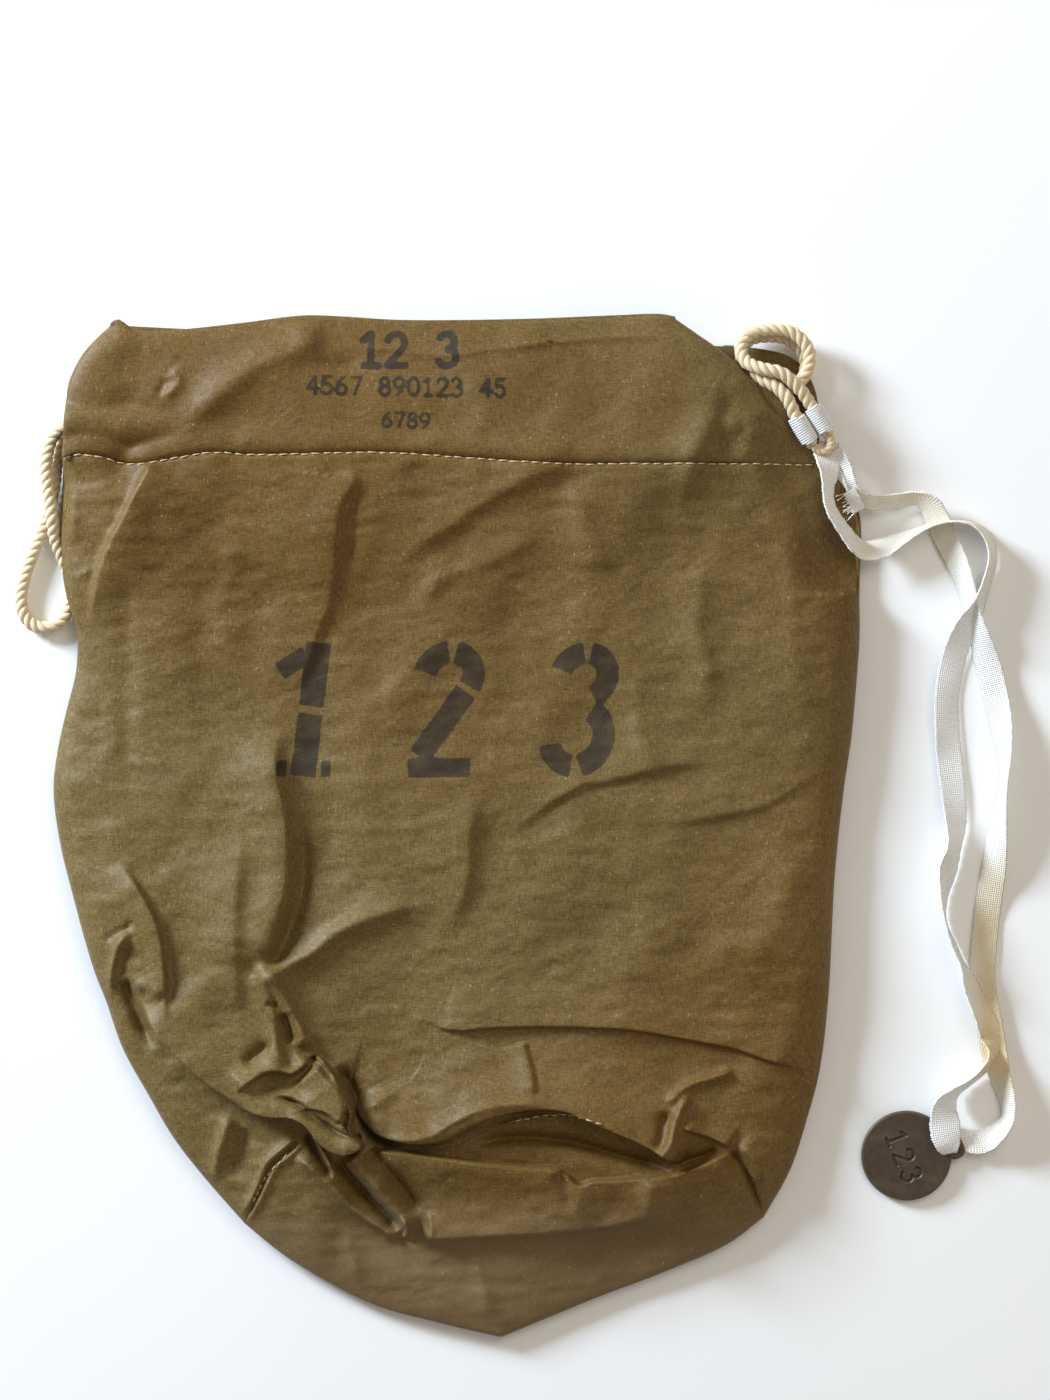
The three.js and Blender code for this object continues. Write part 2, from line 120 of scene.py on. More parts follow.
def make_mesh(name, points, quads, material, body="sack", extra=()):
    """An object from points in millimetres. extra holds (name, values) numbers kept for the material."""
    mesh = bpy.data.meshes.new(name)
    faces = quads.tolist() if isinstance(quads, np.ndarray) else quads
    mesh.from_pydata((np.asarray(points, float) * MM).tolist(), [], faces)
    for key, values in extra:
        values = np.asarray(values, np.float32)
        kind = "FLOAT" if values.ndim == 1 else "FLOAT_VECTOR"
        field = mesh.attributes.new(key, kind, "POINT")
        field.data.foreach_set("value" if values.ndim == 1 else "vector", values.ravel())
    mesh.polygons.foreach_set("use_smooth", [True] * len(mesh.polygons))
    mesh.materials.append(material)
    mesh.update()
    obj = bpy.data.objects.new(name, mesh)
    bpy.context.scene.collection.objects.link(obj)
    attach(obj, body)
    return obj


def apply_modifiers(obj):
    bpy.context.view_layer.update()
    evaluated = obj.evaluated_get(bpy.context.evaluated_depsgraph_get())
    mesh = bpy.data.meshes.new_from_object(evaluated)
    obj.modifiers.clear()
    obj.data = mesh


def solidify(obj, thickness_mm):
    mod = obj.modifiers.new("thickness", "SOLIDIFY")
    mod.thickness = thickness_mm * MM
    mod.offset = -1
    mod.use_even_offset = False
    apply_modifiers(obj)


def tube(line, radius, sides):
    """Points, faces and the fibre coordinates of a round tube along a line."""
    _, n, b = carried_frames(line)
    angle = np.linspace(0, 2 * np.pi, sides, endpoint=False)
    radius = np.broadcast_to(np.asarray(radius, float), (len(line),))
    ring = np.cos(angle)[None, :, None] * n[:, None] + np.sin(angle)[None, :, None] * b[:, None]
    points = line[:, None] + ring * radius[:, None, None]
    faces = grid_faces(len(line), sides, wrap=True).tolist()
    faces += end_caps(len(line), sides)
    s = lengths(line)
    fibre = np.stack([
        np.cos(angle)[None] * np.ones((len(line), 1)),
        np.sin(angle)[None] * np.ones((len(line), 1)),
        s[:, None] * np.ones((1, sides)),
    ], axis=-1)
    return points.reshape(-1, 3), faces, fibre.reshape(-1, 3)


def merged(parts):
    points, faces, fibre, start = [], [], [], 0
    for p, f, u in parts:
        points.append(p)
        faces += [[i + start for i in face] for face in f]
        fibre.append(u)
        start += len(p)
    return np.vstack(points), faces, np.vstack(fibre)


def smooth01(value, low, high):
    t = np.clip((value - low) / (high - low), 0, 1)
    return t * t * (3 - 2 * t)


def distance_to(points, line):
    """Each plan point's distance to a line, its side (+ on the left of the line) and how far along, 0 to 1."""
    best = np.full(len(points), 1e9)
    side = np.zeros(len(points))
    share = np.zeros(len(points))
    s = lengths(line)
    for i in range(len(line) - 1):
        a, d = line[i, :2], line[i + 1, :2] - line[i, :2]
        length = max(np.hypot(*d), 1e-9)
        rel = points - a
        k = np.clip((rel @ d) / length ** 2, 0, 1)
        gap = rel - k[:, None] * d
        dist = np.hypot(gap[:, 0], gap[:, 1])
        cross = d[0] * rel[:, 1] - d[1] * rel[:, 0]
        closer = dist < best
        best[closer] = dist[closer]
        side[closer] = np.sign(cross[closer] + 1e-12)
        share[closer] = ((s[i] + k * length) / s[-1])[closer]
    return best, side, share


def nearest(points, lines):
    """Each plan point's distance to the nearest of some lines."""
    return np.min([distance_to(points, line)[0] for line in lines], axis=0)


def value_noise(points, size, seed):
    """Smooth noise from -1 to 1 over the plan, with features of about that size in millimetres."""
    table = np.random.default_rng(seed).uniform(-1, 1, (64, 64))
    p = points / size
    i = np.floor(p).astype(int)
    f = p - i
    f = f * f * f * (f * (f * 6 - 15) + 10)

    def at(dx, dy):
        return table[(i[:, 0] + dx) % 64, (i[:, 1] + dy) % 64]

    low = at(0, 0) * (1 - f[:, 0]) + at(1, 0) * f[:, 0]
    high = at(0, 1) * (1 - f[:, 0]) + at(1, 1) * f[:, 0]
    return low * (1 - f[:, 1]) + high * f[:, 1]


def smooth_min(a, b, soft):
    """The lower of two, rounded off where they meet."""
    h = np.clip(0.5 + 0.5 * (b - a) / soft, 0, 1)
    return b * (1 - h) + a * h - soft * h * (1 - h)


def within(plan, line, reach):
    """Which plan points lie in the box round a line."""
    return np.flatnonzero(((plan > line.min(0) - reach) & (plan < line.max(0) + reach)).all(1))


def stroke_distance(plan, strokes, flat_ends=False):
    """Millimetres inside (+) or outside (-) a set of strokes, each a line and a half width."""
    best = np.full(len(plan), -50.0)
    for line, half in strokes:
        line = np.array(line, float)
        near = within(plan, line, 14)
        if not len(near):
            continue
        d = half - distance_to(plan[near], line)[0]
        if flat_ends:
            for end, back in ((line[0], line[1]), (line[-1], line[-2])):
                out = (end - back) / np.hypot(*(end - back))
                rel = plan[near] - end
                beyond = rel @ out
                cut = np.where(np.hypot(rel[:, 0], rel[:, 1]) < half * 1.6, -beyond, 99)
                d = np.minimum(d, cut)
        best[near] = np.maximum(best[near], d)
    return best


def arc(cx, cy, rx, ry, a0, a1, count=14):
    a = np.radians(np.linspace(a0, a1, count))
    return [(cx + rx * math.cos(t), cy + ry * math.sin(t)) for t in a]


def digit_lines(digit):
    """A plain numeral as lines in a box 0.6 wide and 1 high, the left bottom corner at 0, 0."""
    return {
        " ": [],
        "0": [arc(0.3, 0.5, 0.26, 0.46, 0, 360, 20)],
        "1": [[(0.1, 0.78), (0.32, 0.96), (0.32, 0.04)], [(0.12, 0.04), (0.52, 0.04)]],
        "2": [[*arc(0.3, 0.7, 0.24, 0.26, 165, -35, 10), (0.06, 0.05)], [(0.06, 0.05), (0.56, 0.05)]],
        "3": [arc(0.28, 0.72, 0.22, 0.24, 150, -80, 10), arc(0.28, 0.28, 0.26, 0.25, 80, -150, 10)],
        "4": [[(0.44, 0.04), (0.44, 0.95), (0.04, 0.32), (0.6, 0.32)]],
        "5": [[(0.52, 0.95), (0.12, 0.95), (0.1, 0.56)], arc(0.28, 0.32, 0.25, 0.28, 130, -150, 12)],
        "6": [arc(0.3, 0.3, 0.24, 0.26, 0, 360, 16), [(0.07, 0.34), (0.14, 0.7), (0.42, 0.95)]],
        "7": [[(0.05, 0.95), (0.56, 0.95), (0.22, 0.04)]],
        "8": [arc(0.3, 0.73, 0.2, 0.22, 0, 360, 14), arc(0.3, 0.28, 0.25, 0.25, 0, 360, 16)],
        "9": [arc(0.3, 0.68, 0.24, 0.27, 0, 360, 16), [(0.53, 0.64), (0.46, 0.3), (0.18, 0.04)]],
    }[digit]


# ---------------------------------------------------------------- materials
class Nodes:
    """Short names for building a material's nodes."""

    def __init__(self, name):
        self.material = bpy.data.materials.new(name)
        self.material.use_nodes = True
        self.tree = self.material.node_tree
        self.shader = self.tree.nodes["Principled BSDF"]

    def add(self, kind, **settings):
        node = self.tree.nodes.new(kind)
        for key, value in settings.items():
            if key in node.inputs:
                node.inputs[key].default_value = value
            else:
                setattr(node, key, value)
        return node

    def link(self, a, b):
        self.tree.links.new(a, b)

    def position(self):
        return self.add("ShaderNodeTexCoord").outputs["Object"]

    def field(self, name):
        return self.add("ShaderNodeAttribute", attribute_name=name)

    def scaled(self, vector, scale, offset=(0, 0, 0)):
        node = self.add("ShaderNodeMapping")
        node.inputs["Scale"].default_value = scale
        node.inputs["Location"].default_value = offset
        self.link(vector, node.inputs["Vector"])
        return node.outputs["Vector"]

    def noise(self, vector, scale, detail=3.0, roughness=0.55, distortion=0.0):
        node = self.add("ShaderNodeTexNoise", Scale=scale, Detail=detail, Roughness=roughness,
                        Distortion=distortion)
        self.link(vector, node.inputs["Vector"])
        return node.outputs["Fac"]

    def math(self, operation, a, b=None):
        node = self.add("ShaderNodeMath", operation=operation)
        for socket, value in zip(node.inputs, (a, b)):
            if value is None:
                continue
            if isinstance(value, (int, float)):
                socket.default_value = value
            else:
                self.link(value, socket)
        return node.outputs[0]

    def ramp(self, fac, stops):
        node = self.add("ShaderNodeValToRGB")
        ramp = node.color_ramp
        while len(ramp.elements) < len(stops):
            ramp.elements.new(0.5)
        for element, (at, color) in zip(ramp.elements, stops):
            element.position = at
            element.color = (*color, 1)
        self.link(fac, node.inputs["Fac"])
        return node.outputs["Color"]

    def steps(self, fac, low, high):
        node = self.add("ShaderNodeMapRange", interpolation_type="SMOOTHSTEP")
        node.inputs["From Min"].default_value = low
        node.inputs["From Max"].default_value = high
        self.link(fac, node.inputs["Value"])
        return node.outputs["Result"]

    def mix(self, fac, a, b, blend="MIX"):
        node = self.add("ShaderNodeMix", data_type="RGBA", blend_type=blend)
        sockets = [node.inputs[0], node.inputs[6], node.inputs[7]]
        for socket, value in zip(sockets, (fac, a, b)):
            if isinstance(value, (int, float)):
                socket.default_value = value
            elif isinstance(value, tuple):
                socket.default_value = (*value, 1)
            else:
                self.link(value, socket)
        return node.outputs[2]

    def bump(self, height, strength, distance_mm, normal=None):
        node = self.add("ShaderNodeBump", Strength=strength, Distance=distance_mm * MM)
        self.link(height, node.inputs["Height"])
        if normal is not None:
            self.link(normal, node.inputs["Normal"])
        return node.outputs["Normal"]

    def finish(self, color, roughness, normal=None, sheen=0.0, sheen_tint=(1, 1, 1), sheen_roughness=0.5,
               specular=0.3):
        self.link(color, self.shader.inputs["Base Color"])
        if isinstance(roughness, (int, float)):
            self.shader.inputs["Roughness"].default_value = roughness
        else:
            self.link(roughness, self.shader.inputs["Roughness"])
        if normal is not None:
            self.link(normal, self.shader.inputs["Normal"])
        for key, value in (("Sheen Weight", sheen), ("Sheen Tint", (*sheen_tint, 1)),
                           ("Sheen Roughness", sheen_roughness), ("Specular IOR Level", specular)):
            self.shader.inputs[key].default_value = value
        return self.material


def srgb(r, g, b):
    def one(c):
        c /= 255
        return c / 12.92 if c <= 0.04045 else ((c + 0.055) / 1.055) ** 2.4
    return (one(r), one(g), one(b))


def canvas_material(name, ink):
    """Washed cotton duck: slubby yarns both ways, faded patches, pale flecks and ink."""
    n = Nodes(name)
    place = n.position()
    warp = n.noise(n.scaled(place, (2300, 330, 900)), 1.0, 2.0, 0.6)
    weft = n.noise(n.scaled(place, (300, 2500, 900)), 1.0, 2.0, 0.6)
    weave = n.math("ADD", n.math("MULTIPLY", warp, 0.5), n.math("MULTIPLY", weft, 0.5))
    patches = n.noise(place, 9.0, 4.0, 0.6, 0.4)
    broad = n.noise(n.scaled(place, (1, 1, 1), (3.1, 1.7, 0)), 3.2, 2.0, 0.5)
    base = n.ramp(patches, [(0.30, srgb(96, 70, 23)), (0.52, srgb(104, 78, 29)), (0.72, srgb(111, 86, 38))])
    base = n.mix(n.steps(broad, 0.42, 0.66), base, srgb(108, 88, 45))
    yarns = n.ramp(weave, [(0.36, (0.16, 0.15, 0.13)), (0.5, (0.5, 0.5, 0.5)), (0.64, (0.86, 0.86, 0.85))])
    base = n.mix(0.64, base, yarns, "OVERLAY")
    # the lower band is painted paler and greyer
    along_sack = n.add("ShaderNodeSeparateXYZ")
    n.link(place, along_sack.inputs["Vector"])
    paler_lower_band = n.math("MULTIPLY", n.steps(along_sack.outputs["Y"], -0.150, -0.196), 0.55)
    base = n.mix(paler_lower_band, base, srgb(126, 107, 76))
    fleck = n.steps(n.noise(n.scaled(place, (900, 520, 900)), 1.0, 1.0, 0.5), 0.70, 0.78)
    base = n.mix(n.math("MULTIPLY", fleck, 0.55), base, srgb(168, 148, 104))
    if ink:
        uneven = n.noise(n.scaled(place, (1400, 1400, 800)), 1.0, 3.0, 0.7)
        blotch = n.noise(place, 120.0, 3.0, 0.6)
        edge = n.field("ink").outputs["Fac"]
        for roughened, reach in ((uneven, 2.6), (blotch, 1.6)):
            edge = n.math("ADD", edge, n.math("MULTIPLY", n.math("SUBTRACT", roughened, 0.5), reach))
        covered = n.steps(edge, -0.35, 0.45)
        density = n.math("MULTIPLY", covered, n.ramp(blotch, [(0.3, (0.76,) * 3), (0.6, (0.96,) * 3)]))
        density = n.math("MULTIPLY", density, n.field("ink_strength").outputs["Fac"])
        base = n.mix(density, base, srgb(40, 33, 23))
        ring = n.field("stain").outputs["Fac"]
        base = n.mix(n.math("MULTIPLY", ring, 0.5), base, srgb(84, 58, 32))
    rumple = n.noise(n.scaled(place, (30, 42, 30)), 1.0, 4.0, 0.5, 0.7)
    normal = n.bump(rumple, 0.35, 5.0)
    normal = n.bump(weave, 0.5, 0.3, normal)
    rough = n.ramp(patches, [(0.3, (0.53,) * 3), (0.7, (0.61,) * 3)])
    return n.finish(base, rough, normal, sheen=0.04, sheen_tint=srgb(176, 196, 226), sheen_roughness=0.4,
                    specular=0.34)


def yarn_material(name, light, dark, stretch, fine=26.0):
    """Spun cotton: fibres run along the yarn, with painted shade in the grooves between the strands."""
    n = Nodes(name)
    fibre = n.field("fibre").outputs["Vector"]
    lines = n.noise(n.scaled(fibre, (fine / 4, fine / 4, stretch)), 1.0, 3.0, 0.62)
    blotch = n.noise(n.position(), 60.0, 3.0, 0.6)
    groove_shade = n.steps(n.field("depth").outputs["Fac"], 0.0, 1.0)
    color = n.ramp(lines, [(0.3, dark), (0.62, light)])
    # painted shade in the grooves between the strands
    color = n.mix(n.math("MULTIPLY", groove_shade, 0.6), color, tuple(c * 0.62 for c in dark))
    color = n.mix(n.math("MULTIPLY", n.steps(blotch, 0.45, 0.75), 0.3), color, tuple(c * 0.86 for c in light))
    return n.finish(color, 0.9, n.bump(lines, 0.5, 0.3), sheen=0.3, sheen_tint=(1, 1, 0.97), specular=0.2)


def tape_material():
    """Open plain-woven tape: a grid of yarns with painted shade in the small gaps between them, and closer-set
    edges.
    """
    n = Nodes("cotton_tape")
    across = n.field("across").outputs["Fac"]
    along = n.field("along").outputs["Fac"]
    pitch = 0.95

    def bars(value, offset):
        return n.math("SINE", n.math("ADD", n.math("MULTIPLY", value, 2 * math.pi / pitch), offset))

    wobble = n.math("MULTIPLY", n.math("SUBTRACT", n.noise(n.position(), 420.0, 2.0), 0.5), 1.8)
    crossed = n.math("ADD", bars(across, 0.0), bars(along, wobble))
    over = n.math("ADD", n.math("MULTIPLY", crossed, 0.25), 0.5)
    tone = n.noise(n.position(), 26.0, 3.0, 0.55)
    white = n.ramp(tone, [(0.35, srgb(246, 244, 238)), (0.6, srgb(252, 252, 252))])
    yellowed = n.ramp(tone, [(0.35, srgb(236, 216, 174)), (0.6, srgb(246, 234, 206))])
    cream = n.mix(n.field("warmth").outputs["Fac"], white, yellowed)
    # painted shade in the gaps between the yarns
    gap = n.steps(over, 0.42, 0.04)
    color = n.mix(n.math("MULTIPLY", gap, 0.5), cream, srgb(198, 186, 160))
    fibre = n.noise(n.position(), 2600.0, 2.0, 0.6)
    color = n.mix(0.12, color, n.ramp(fibre, [(0.3, (0.2,) * 3), (0.7, (0.8,) * 3)]), "OVERLAY")
    return n.finish(color, 0.88, n.bump(over, 0.9, 0.45), sheen=0.2, specular=0.2)


def tag_material():
    """Pressed fibre with a faint mottle, painted darker in its stamped numerals and with a painted highlight
    round the rim.
    """
    n = Nodes("pressed_fibre")
    place = n.position()
    mottle = n.noise(place, 420.0, 4.0, 0.65)
    smudge = n.noise(place, 60.0, 3.0, 0.6, 0.5)
    color = n.ramp(mottle, [(0.3, srgb(62, 49, 36)), (0.7, srgb(78, 63, 47))])
    color = n.mix(n.math("MULTIPLY", n.steps(smudge, 0.45, 0.75), 0.4), color, srgb(98, 82, 63))
    # a painted highlight round the rim and on the lug
    color = n.mix(n.math("MULTIPLY", n.field("rim").outputs["Fac"], 0.45), color, srgb(104, 88, 68))
    # the stamped numerals painted darker
    color = n.mix(n.math("MULTIPLY", n.field("numeral_darkening").outputs["Fac"], 0.55), color, srgb(40, 31, 23))
    rough = n.ramp(smudge, [(0.3, (0.36,) * 3), (0.7, (0.5,) * 3)])
    return n.finish(color, rough, n.bump(mottle, 0.25, 0.1), specular=0.45)


CANVAS = canvas_material("canvas_duck", ink=True)
CANVAS_PLAIN = canvas_material("canvas_duck_plain", ink=False)
ROPE = yarn_material("cotton_rope", srgb(240, 224, 190), srgb(194, 164, 116), 0.9)
TWINE = yarn_material("whipping_twine", srgb(240, 240, 238), srgb(196, 196, 192), 1.6, fine=12.0)
THREAD = yarn_material("sewing_thread", srgb(214, 196, 152), srgb(160, 136, 92), 2.2, fine=10.0)
TAPE = tape_material()
TAG = tag_material()

# ---------------------------------------------------------------- drawcord
ROPE_D = 6.2
LEG_SPACING = ROPE_D / 2 + 0.35
END_SPACING = ROPE_D / 2 + 1.1
LEG_PAIR = [
    (163.1, 173.7, 14.5, 0), (155.5, 185.9, 16.4, 0), (150.4, 194.4, 18.2, 8), (143.8, 200.4, 18.2, 28),
    (135.6, 203.4, 16.8, 56), (129.2, 208.0, 13.6, 82), (127.6, 214.6, 11, 96), (131.6, 220.0, 9.4, 106),
    (140.4, 221.8, 8.6, 112), (149.4, 220.6, 8.2, 116), (156.0, 214.8, 8, 112), (157.6, 207.6, 8, 100),
    (154.6, 200.6, 8.4, 90),
]
FRONT_RUN = [
    (148.4, 194, 11), (143.6, 186.4, 10.8), (136, 182.2, 14.2), (130, 180.6, 17.8), (122.5, 180, 18.9),
    (112, 180, 18.9), (60, 180, 18.9), (0, 180, 18.9), (-75, 180, 18.9), (-147, 180, 18.9),
]
LEFT_LOOP = [
    (-160, 181, 17.6), (-171, 181.5, 13.4), (-180, 176, 11), (-183.6, 166, 10.8), (-183.4, 155, 10.6),
    (-181.8, 144.5, 10.4), (-181, 137, 9.6), (-180, 129.5, 6.4), (-176.8, 121, 4), (-173.6, 111, 3.4),
    (-173, 102.5, 3.4), (-176.2, 94.4, 3.4), (-182, 90.2, 3.4), (-188.8, 90.2, 3.4), (-194, 95, 3.4),
    (-195.6, 102.6, 3.4), (-194.2, 111.5, 3.4), (-191.2, 120.5, 3.4), (-187.4, 130, 3.4), (-183.4, 141, 3.4),
    (-181, 152, 3.8), (-179.4, 164, 4.5), (-175.4, 177, 4.6), (-168, 190, 4.6), (-158.6, 199, 4.6),
]
BACK_RUN = [
    (-146, 204, 4.5), (-75, 204, 4.5), (0, 204, 4.5), (60, 204, 4.5), (119, 204, 4.5), (133.5, 200, 4.6),
    (146, 197, 4.7),
]


def leg(side):
    pair = np.array(LEG_PAIR, float)
    heading = np.gradient(pair[:, :2], axis=0)
    points = []
    for i, (x, y, z, roll) in enumerate(LEG_PAIR):
        right = np.array([heading[i, 1], -heading[i, 0], 0])
        right /= np.linalg.norm(right)
        out = side * (END_SPACING if i < 2 else LEG_SPACING)
        a = math.radians(roll)
        points.append(np.array([x, y, z]) + right * out * math.cos(a) + np.array([0, 0, out * math.sin(a)]))
    return points


rope_line = resample(catmull([*leg(1), *FRONT_RUN, *LEFT_LOOP, *BACK_RUN, *leg(-1)[::-1]]), step=0.9)
ROPE_LENGTH = lengths(rope_line)[-1]
PITCH = 11.7
STRAND_R = 1.62


def laid_rope(line, radius, strand_radius, pitch, sides=10, twist=0.5):
    """Three strands laid up right-handed round a line."""
    strands = 3
    _, n, b = carried_frames(line)
    s = lengths(line)
    parts = []
    for k in range(strands):
        a = 2 * np.pi * (s / pitch + k / strands)
        out = np.cos(a)[:, None] * n + np.sin(a)[:, None] * b
        path = line + out * (radius - strand_radius)
        t = tangents(path)
        side = np.cross(t, out)
        ring = np.linspace(0, 2 * np.pi, sides, endpoint=False)
        direction = np.cos(ring)[None, :, None] * out[:, None] + np.sin(ring)[None, :, None] * side[:, None]
        swell = strand_radius * (1 + 0.03 * np.sin(s * 1.7 + k * 2.1))[:, None, None]
        p = path[:, None] + direction * swell
        turned = ring[None, :] + s[:, None] * twist
        down = np.broadcast_to(s[:, None] * 0.5, turned.shape)
        fibre = np.stack([np.cos(turned) * 3, np.sin(turned) * 3, down], -1)
        # depth: painted shade on the side of each strand that faces into the rope
        depth = np.broadcast_to(np.clip(0.5 - np.cos(ring), 0, 1)[None, :], turned.shape)
        faces = grid_faces(len(line), sides, wrap=True).tolist()
        faces += end_caps(len(line), sides)
        parts.append((p.reshape(-1, 3), faces, np.column_stack([fibre.reshape(-1, 3), depth.reshape(-1)])))
    return merged(parts)


def yarn_mesh(name, parts, material):
    """A mesh whose material reads where each fibre runs and how deep it lies, for painted shade in the grooves.
    """
    points, faces, fields = parts
    return make_mesh(name, points, faces, material, extra=[("fibre", fields[:, :3]), ("depth", fields[:, 3])])


rope = yarn_mesh("cotton_drawcord", laid_rope(rope_line, ROPE_D / 2, STRAND_R, PITCH), ROPE)
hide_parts("drawcord")


def whipping(name, line, node):
    """Twine wound closely round a leg, over its strands."""
    core = resample(line, step=0.25)
    _, n, b = carried_frames(core)
    s = lengths(core)
    turn_pitch, twine = 1.04, 0.56
    fine = np.linspace(0, len(core) - 1, int(s[-1] / turn_pitch * 22))
    def at(values):
        return np.column_stack([np.interp(fine, np.arange(len(core)), values[:, k]) for k in range(3)])
    centre, nn, bb = at(core), at(n), at(b)
    a = 2 * np.pi * np.interp(fine, np.arange(len(core)), s) / turn_pitch
    f = fine / fine[-1]
    swell = ROPE_D / 2 + 0.42 + 0.25 * np.sin(np.pi * f) ** 0.6
    path = centre + (np.cos(a)[:, None] * nn + np.sin(a)[:, None] * bb) * swell[:, None]
    p, fc, fib = tube(path, twine, 8)
    parts = [(p, fc, np.column_stack([fib[:, 0], fib[:, 1], fib[:, 2] * 0.4, np.zeros(len(fib))]))]
    # A core under the turns, given painted shade (depth 0.8) where it shows between them.
    inner, fi, fb = tube(core, ROPE_D / 2 + 0.5, 20)
    parts.append((inner, fi, np.column_stack([fb, np.ones(len(fb)) * 0.8])))
    obj = yarn_mesh(name, merged(parts), TWINE)
    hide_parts(node)
    return obj


def stretch_of(line, low, high):
    s = lengths(line)
    return line[(s >= low) & (s <= high)]


# Each whipping starts 1 mm from its end of the cord and stops 15 mm from it.
WHIP_FROM, WHIP_TO = 1.0, 15.0
right_end = stretch_of(rope_line, WHIP_FROM, WHIP_TO)
left_end = stretch_of(rope_line, ROPE_LENGTH - WHIP_TO, ROPE_LENGTH - WHIP_FROM)
whip_right = whipping("right_whipping_twine", right_end, "right_whipping")
whip_left = whipping("left_whipping_twine", left_end, "left_whipping")

end_a, end_b = rope_line[0], rope_line[-1]
out_a = rope_line[0] - rope_line[3]
out_a /= np.linalg.norm(out_a)
middle = (end_a + end_b) / 2
becket_line = resample(catmull([
    end_a - out_a * 3, end_a + out_a * 1.0, end_a * 0.75 + middle * 0.25 + out_a * 3.6,
    middle + out_a * 5.6 + np.array([0, 0, 0.8]),
    end_b * 0.75 + middle * 0.25 + out_a * 3.6, end_b + out_a * 1.0, end_b - out_a * 3,
]), step=0.5)
becket = yarn_mesh("becket_strand", laid_rope(becket_line, 2.1, 1.2, 7.5, sides=12, twist=0.9), ROPE)
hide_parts("becket")

# ---------------------------------------------------------------- tag
TAG_CENTRE = np.array([202.3, -147.6, 1.05])
TAG_RADIUS, TAG_THICK = 20.3, 2.4
TAG_TURN, TAG_TILT = math.radians(22), math.radians(2.9)


def place_tag(points):
    """From the disc's own frame, where its slot lies along +X, to the table."""
    x, y, z = points.T
    x, z = x * math.cos(TAG_TILT) - z * math.sin(TAG_TILT), x * math.sin(TAG_TILT) + z * math.cos(TAG_TILT)
    x, y = x * math.cos(TAG_TURN) - y * math.sin(TAG_TURN), x * math.sin(TAG_TURN) + y * math.cos(TAG_TURN)
    return np.column_stack([x, y, z]) + TAG_CENTRE


def disc_numerals(plan):
    """The numerals 1 2 3 with their heads towards the slot."""
    strokes = []
    for place, digit in enumerate("123"):
        for line in digit_lines(digit):
            shift = (place - 1) * 8.8
            strokes.append(([((py - 0.5) * 9.6 - 1, -((px - 0.3) * 9.6 + shift)) for px, py in line], 0.62))
    return stroke_distance(plan, strokes)


def disc():
    """The disc as rings from the middle of its face, round the rim and in below, and its lug."""
    around, rings = 360, 66
    turn = np.linspace(0, 2 * np.pi, around, endpoint=False)
    flat_r = np.linspace(0.25, TAG_RADIUS - 1.3, rings)
    below_r = flat_r[::-6]
    bend = np.linspace(0, np.pi, 15)[1:-1]
    radius = np.concatenate([flat_r, TAG_RADIUS - 1.2 + 1.2 * np.sin(bend), below_r])
    rounded = TAG_THICK / 2 + TAG_THICK / 2 * np.cos(bend)
    height = np.concatenate([np.full(rings, TAG_THICK), rounded, np.zeros(len(below_r))])
    x, y = radius[:, None] * np.cos(turn), radius[:, None] * np.sin(turn)
    z = np.broadcast_to(height[:, None], x.shape).copy()
    top = slice(0, rings)
    plan = np.column_stack([x[top].ravel(), y[top].ravel()])
    inside = disc_numerals(plan)
    pressed = smooth01(inside, -0.28, 0.28) * 0.5 - 0.1 * np.exp(-((inside + 0.55) / 0.35) ** 2)
    dished = 0.12 * np.cos(np.hypot(plan[:, 0], plan[:, 1]) / TAG_RADIUS * np.pi / 2)
    z[top] -= (pressed + dished).reshape(x[top].shape)
    z[top] += (0.035 * value_noise(plan, 3.2, 41) + 0.05 * value_noise(plan, 9, 42)).reshape(x[top].shape)
    points = np.dstack([x, y, z]).reshape(-1, 3)
    faces = grid_faces(len(radius), around, wrap=True).tolist()
    faces += [cap[::-1] for cap in end_caps(len(radius), around)]
    # where the stamped numerals are painted darker
    numeral_darkening = np.zeros(len(points))
    numeral_darkening[: len(plan)] = smooth01(inside, -0.2, 0.3)
    # how much painted highlight each point near the rim gets
    rim = smooth01(np.hypot(points[:, 0], points[:, 1]), TAG_RADIUS - 1.3, TAG_RADIUS - 0.4)
    # the lug: a bar bent round its slot
    half_x, half_y, corner = 2.9, 8.4, 2.2
    steps, sides = 121, 20
    loop = []
    for sx, sy, start in ((1, 1, 0), (-1, 1, 90), (-1, -1, 180), (1, -1, 270)):
        loop += arc(sx * (half_x - corner), sy * (half_y - corner), corner, corner, start, start + 90, 7)
    loop = np.array(loop)
    loop = resample(np.vstack([loop, loop[:1]]), count=steps)[:-1]
    heading = np.roll(loop, -1, 0) - np.roll(loop, 1, 0)
    heading /= np.linalg.norm(heading, axis=1)[:, None]
    outward = np.column_stack([heading[:, 1], -heading[:, 0]])
    ring = np.linspace(0, 2 * np.pi, sides, endpoint=False)
    across = 1.4 * np.sign(np.cos(ring)) * np.abs(np.cos(ring)) ** 0.6
    rise = 1.18 * np.sign(np.sin(ring)) * np.abs(np.sin(ring)) ** 0.6 + 1.2
    lug_xy = loop[:, None] + outward[:, None] * across[None, :, None] + np.array([21.4, 0])
    lug = np.dstack([lug_xy, np.broadcast_to(rise, lug_xy.shape[:2])]).reshape(-1, 3)
    faces += (grid_faces(steps, sides, wrap=True) % len(lug) + len(points)).tolist()
    points = np.vstack([points, lug])
    numeral_darkening = np.append(numeral_darkening, np.zeros(len(lug)))
    # the lug gets much of the rim's painted highlight
    rim = np.append(rim, np.full(len(lug), 0.6))
    return place_tag(points), faces, numeral_darkening, rim


points, faces, numeral_darkening, rim = disc()
number_disc = make_mesh("number_disc", points, faces, TAG, body="tag",
                        extra=[("numeral_darkening", numeral_darkening), ("rim", rim)])
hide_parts("id_tag")

